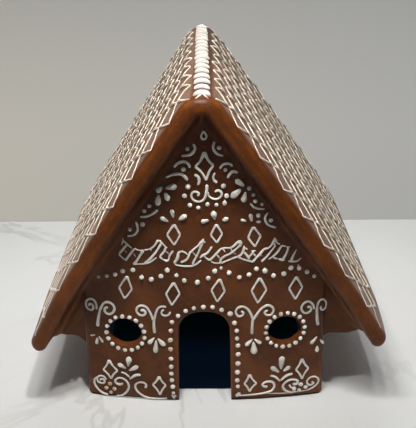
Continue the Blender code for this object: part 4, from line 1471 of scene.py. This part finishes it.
def build_stage():
    """A near-black mat inside the walls as painted shade, a pale worktop and a grey backdrop all round."""
    x, y = SHADE_MAT_HALF
    wide = WORKTOP_REACH
    staged("felt_mat", flat_corners(SHADE_MAT_X - x, -y, SHADE_MAT_X + x, y, SHADE_MAT_Z), dark_felt())
    staged("worktop", flat_corners(-wide, -wide, wide, WORKTOP_BACK_Y, 0.0), marble())
    grey = backdrop_grey()
    low, high = BACKDROP_Z
    ring = [(-wide, -wide), (wide, -wide), (wide, BACKDROP_Y), (-wide, BACKDROP_Y)]
    for number, (a, b) in enumerate(zip(ring, ring[1:] + ring[:1])):
        staged("backdrop_%d" % number, [(*a, low), (*b, low), (*b, high), (*a, high)], grey)


build_stage()

CAMERA_PLACE = (0.0031, -0.4592, 0.3402)
CAMERA_PITCH = radians(27.11)
CAMERA_YAW = radians(-1.079)
CAMERA_ROLL = radians(0.844)
CAMERA_LENS = 52.03935
CAMERA_SHIFT = (0.01799065, 0.01102804)


def build_camera():
    """Camera above the front, looking down at the house."""
    ahead = Vector((sin(CAMERA_YAW) * cos(CAMERA_PITCH), cos(CAMERA_YAW) * cos(CAMERA_PITCH),
                    -sin(CAMERA_PITCH)))
    right = Vector((cos(CAMERA_YAW), -sin(CAMERA_YAW), 0.0))
    down = ahead.cross(right)
    turned = right * cos(CAMERA_ROLL) + down * sin(CAMERA_ROLL)
    below = down * cos(CAMERA_ROLL) - right * sin(CAMERA_ROLL)
    data = bpy.data.cameras.new("camera")
    data.sensor_width = 36.0
    data.lens = CAMERA_LENS
    data.shift_x, data.shift_y = CAMERA_SHIFT
    camera = link("camera", data)
    axes = Matrix((turned, -below, -ahead)).transposed().to_4x4()
    camera.matrix_world = Matrix.Translation(CAMERA_PLACE) @ axes
    bpy.context.scene.camera = camera


build_camera()

MIDDLE = (0.0, 0.0, 0.08)
FLOOR_BEHIND = (0.0, 0.12, 0.0)
WARM_WHITE = (1.0, 0.985, 0.96)
COOL_WHITE = (0.97, 0.985, 1.0)
ROW_X = (-0.122, -0.050, 0.022)
ROW_Y = -0.252
ROW_Z = 0.584
ROOM_COLOR = (0.80, 0.82, 0.85, 1.0)
ROOM_STRENGTH = 0.034


def area_light(name, place, target, size, power, color):
    """Round lamp of the given diameter and power, turned to a target."""
    data = bpy.data.lights.new(name, "AREA")
    data.shape = "DISK"
    data.size = size
    data.energy = power
    data.color = color
    lamp = link(name, data)
    lamp.location = place
    way = Vector(target) - Vector(place)
    lamp.rotation_euler = way.to_track_quat("-Z", "Y").to_euler()


def build_light():
    """A row of small lamps above the front, one higher lamp, a wide one behind and a dim room."""
    for number, x in enumerate(ROW_X):
        area_light("lamp_%d" % number, (x, ROW_Y, ROW_Z), MIDDLE, 0.020, 0.90, WARM_WHITE)
    area_light("lamp_high", (0.0735, -0.326, 0.790), MIDDLE, 0.028, 1.29, WARM_WHITE)
    area_light("lamp_wide", (0.0, 0.75, 1.5), FLOOR_BEHIND, 0.9, 4.2, COOL_WHITE)
    world = bpy.data.worlds.new("room")
    world.use_nodes = True
    back = world.node_tree.nodes["Background"]
    back.inputs["Color"].default_value = ROOM_COLOR
    back.inputs["Strength"].default_value = ROOM_STRENGTH
    bpy.context.scene.world = world
    bpy.context.scene.view_settings.view_transform = "Standard"


build_light()
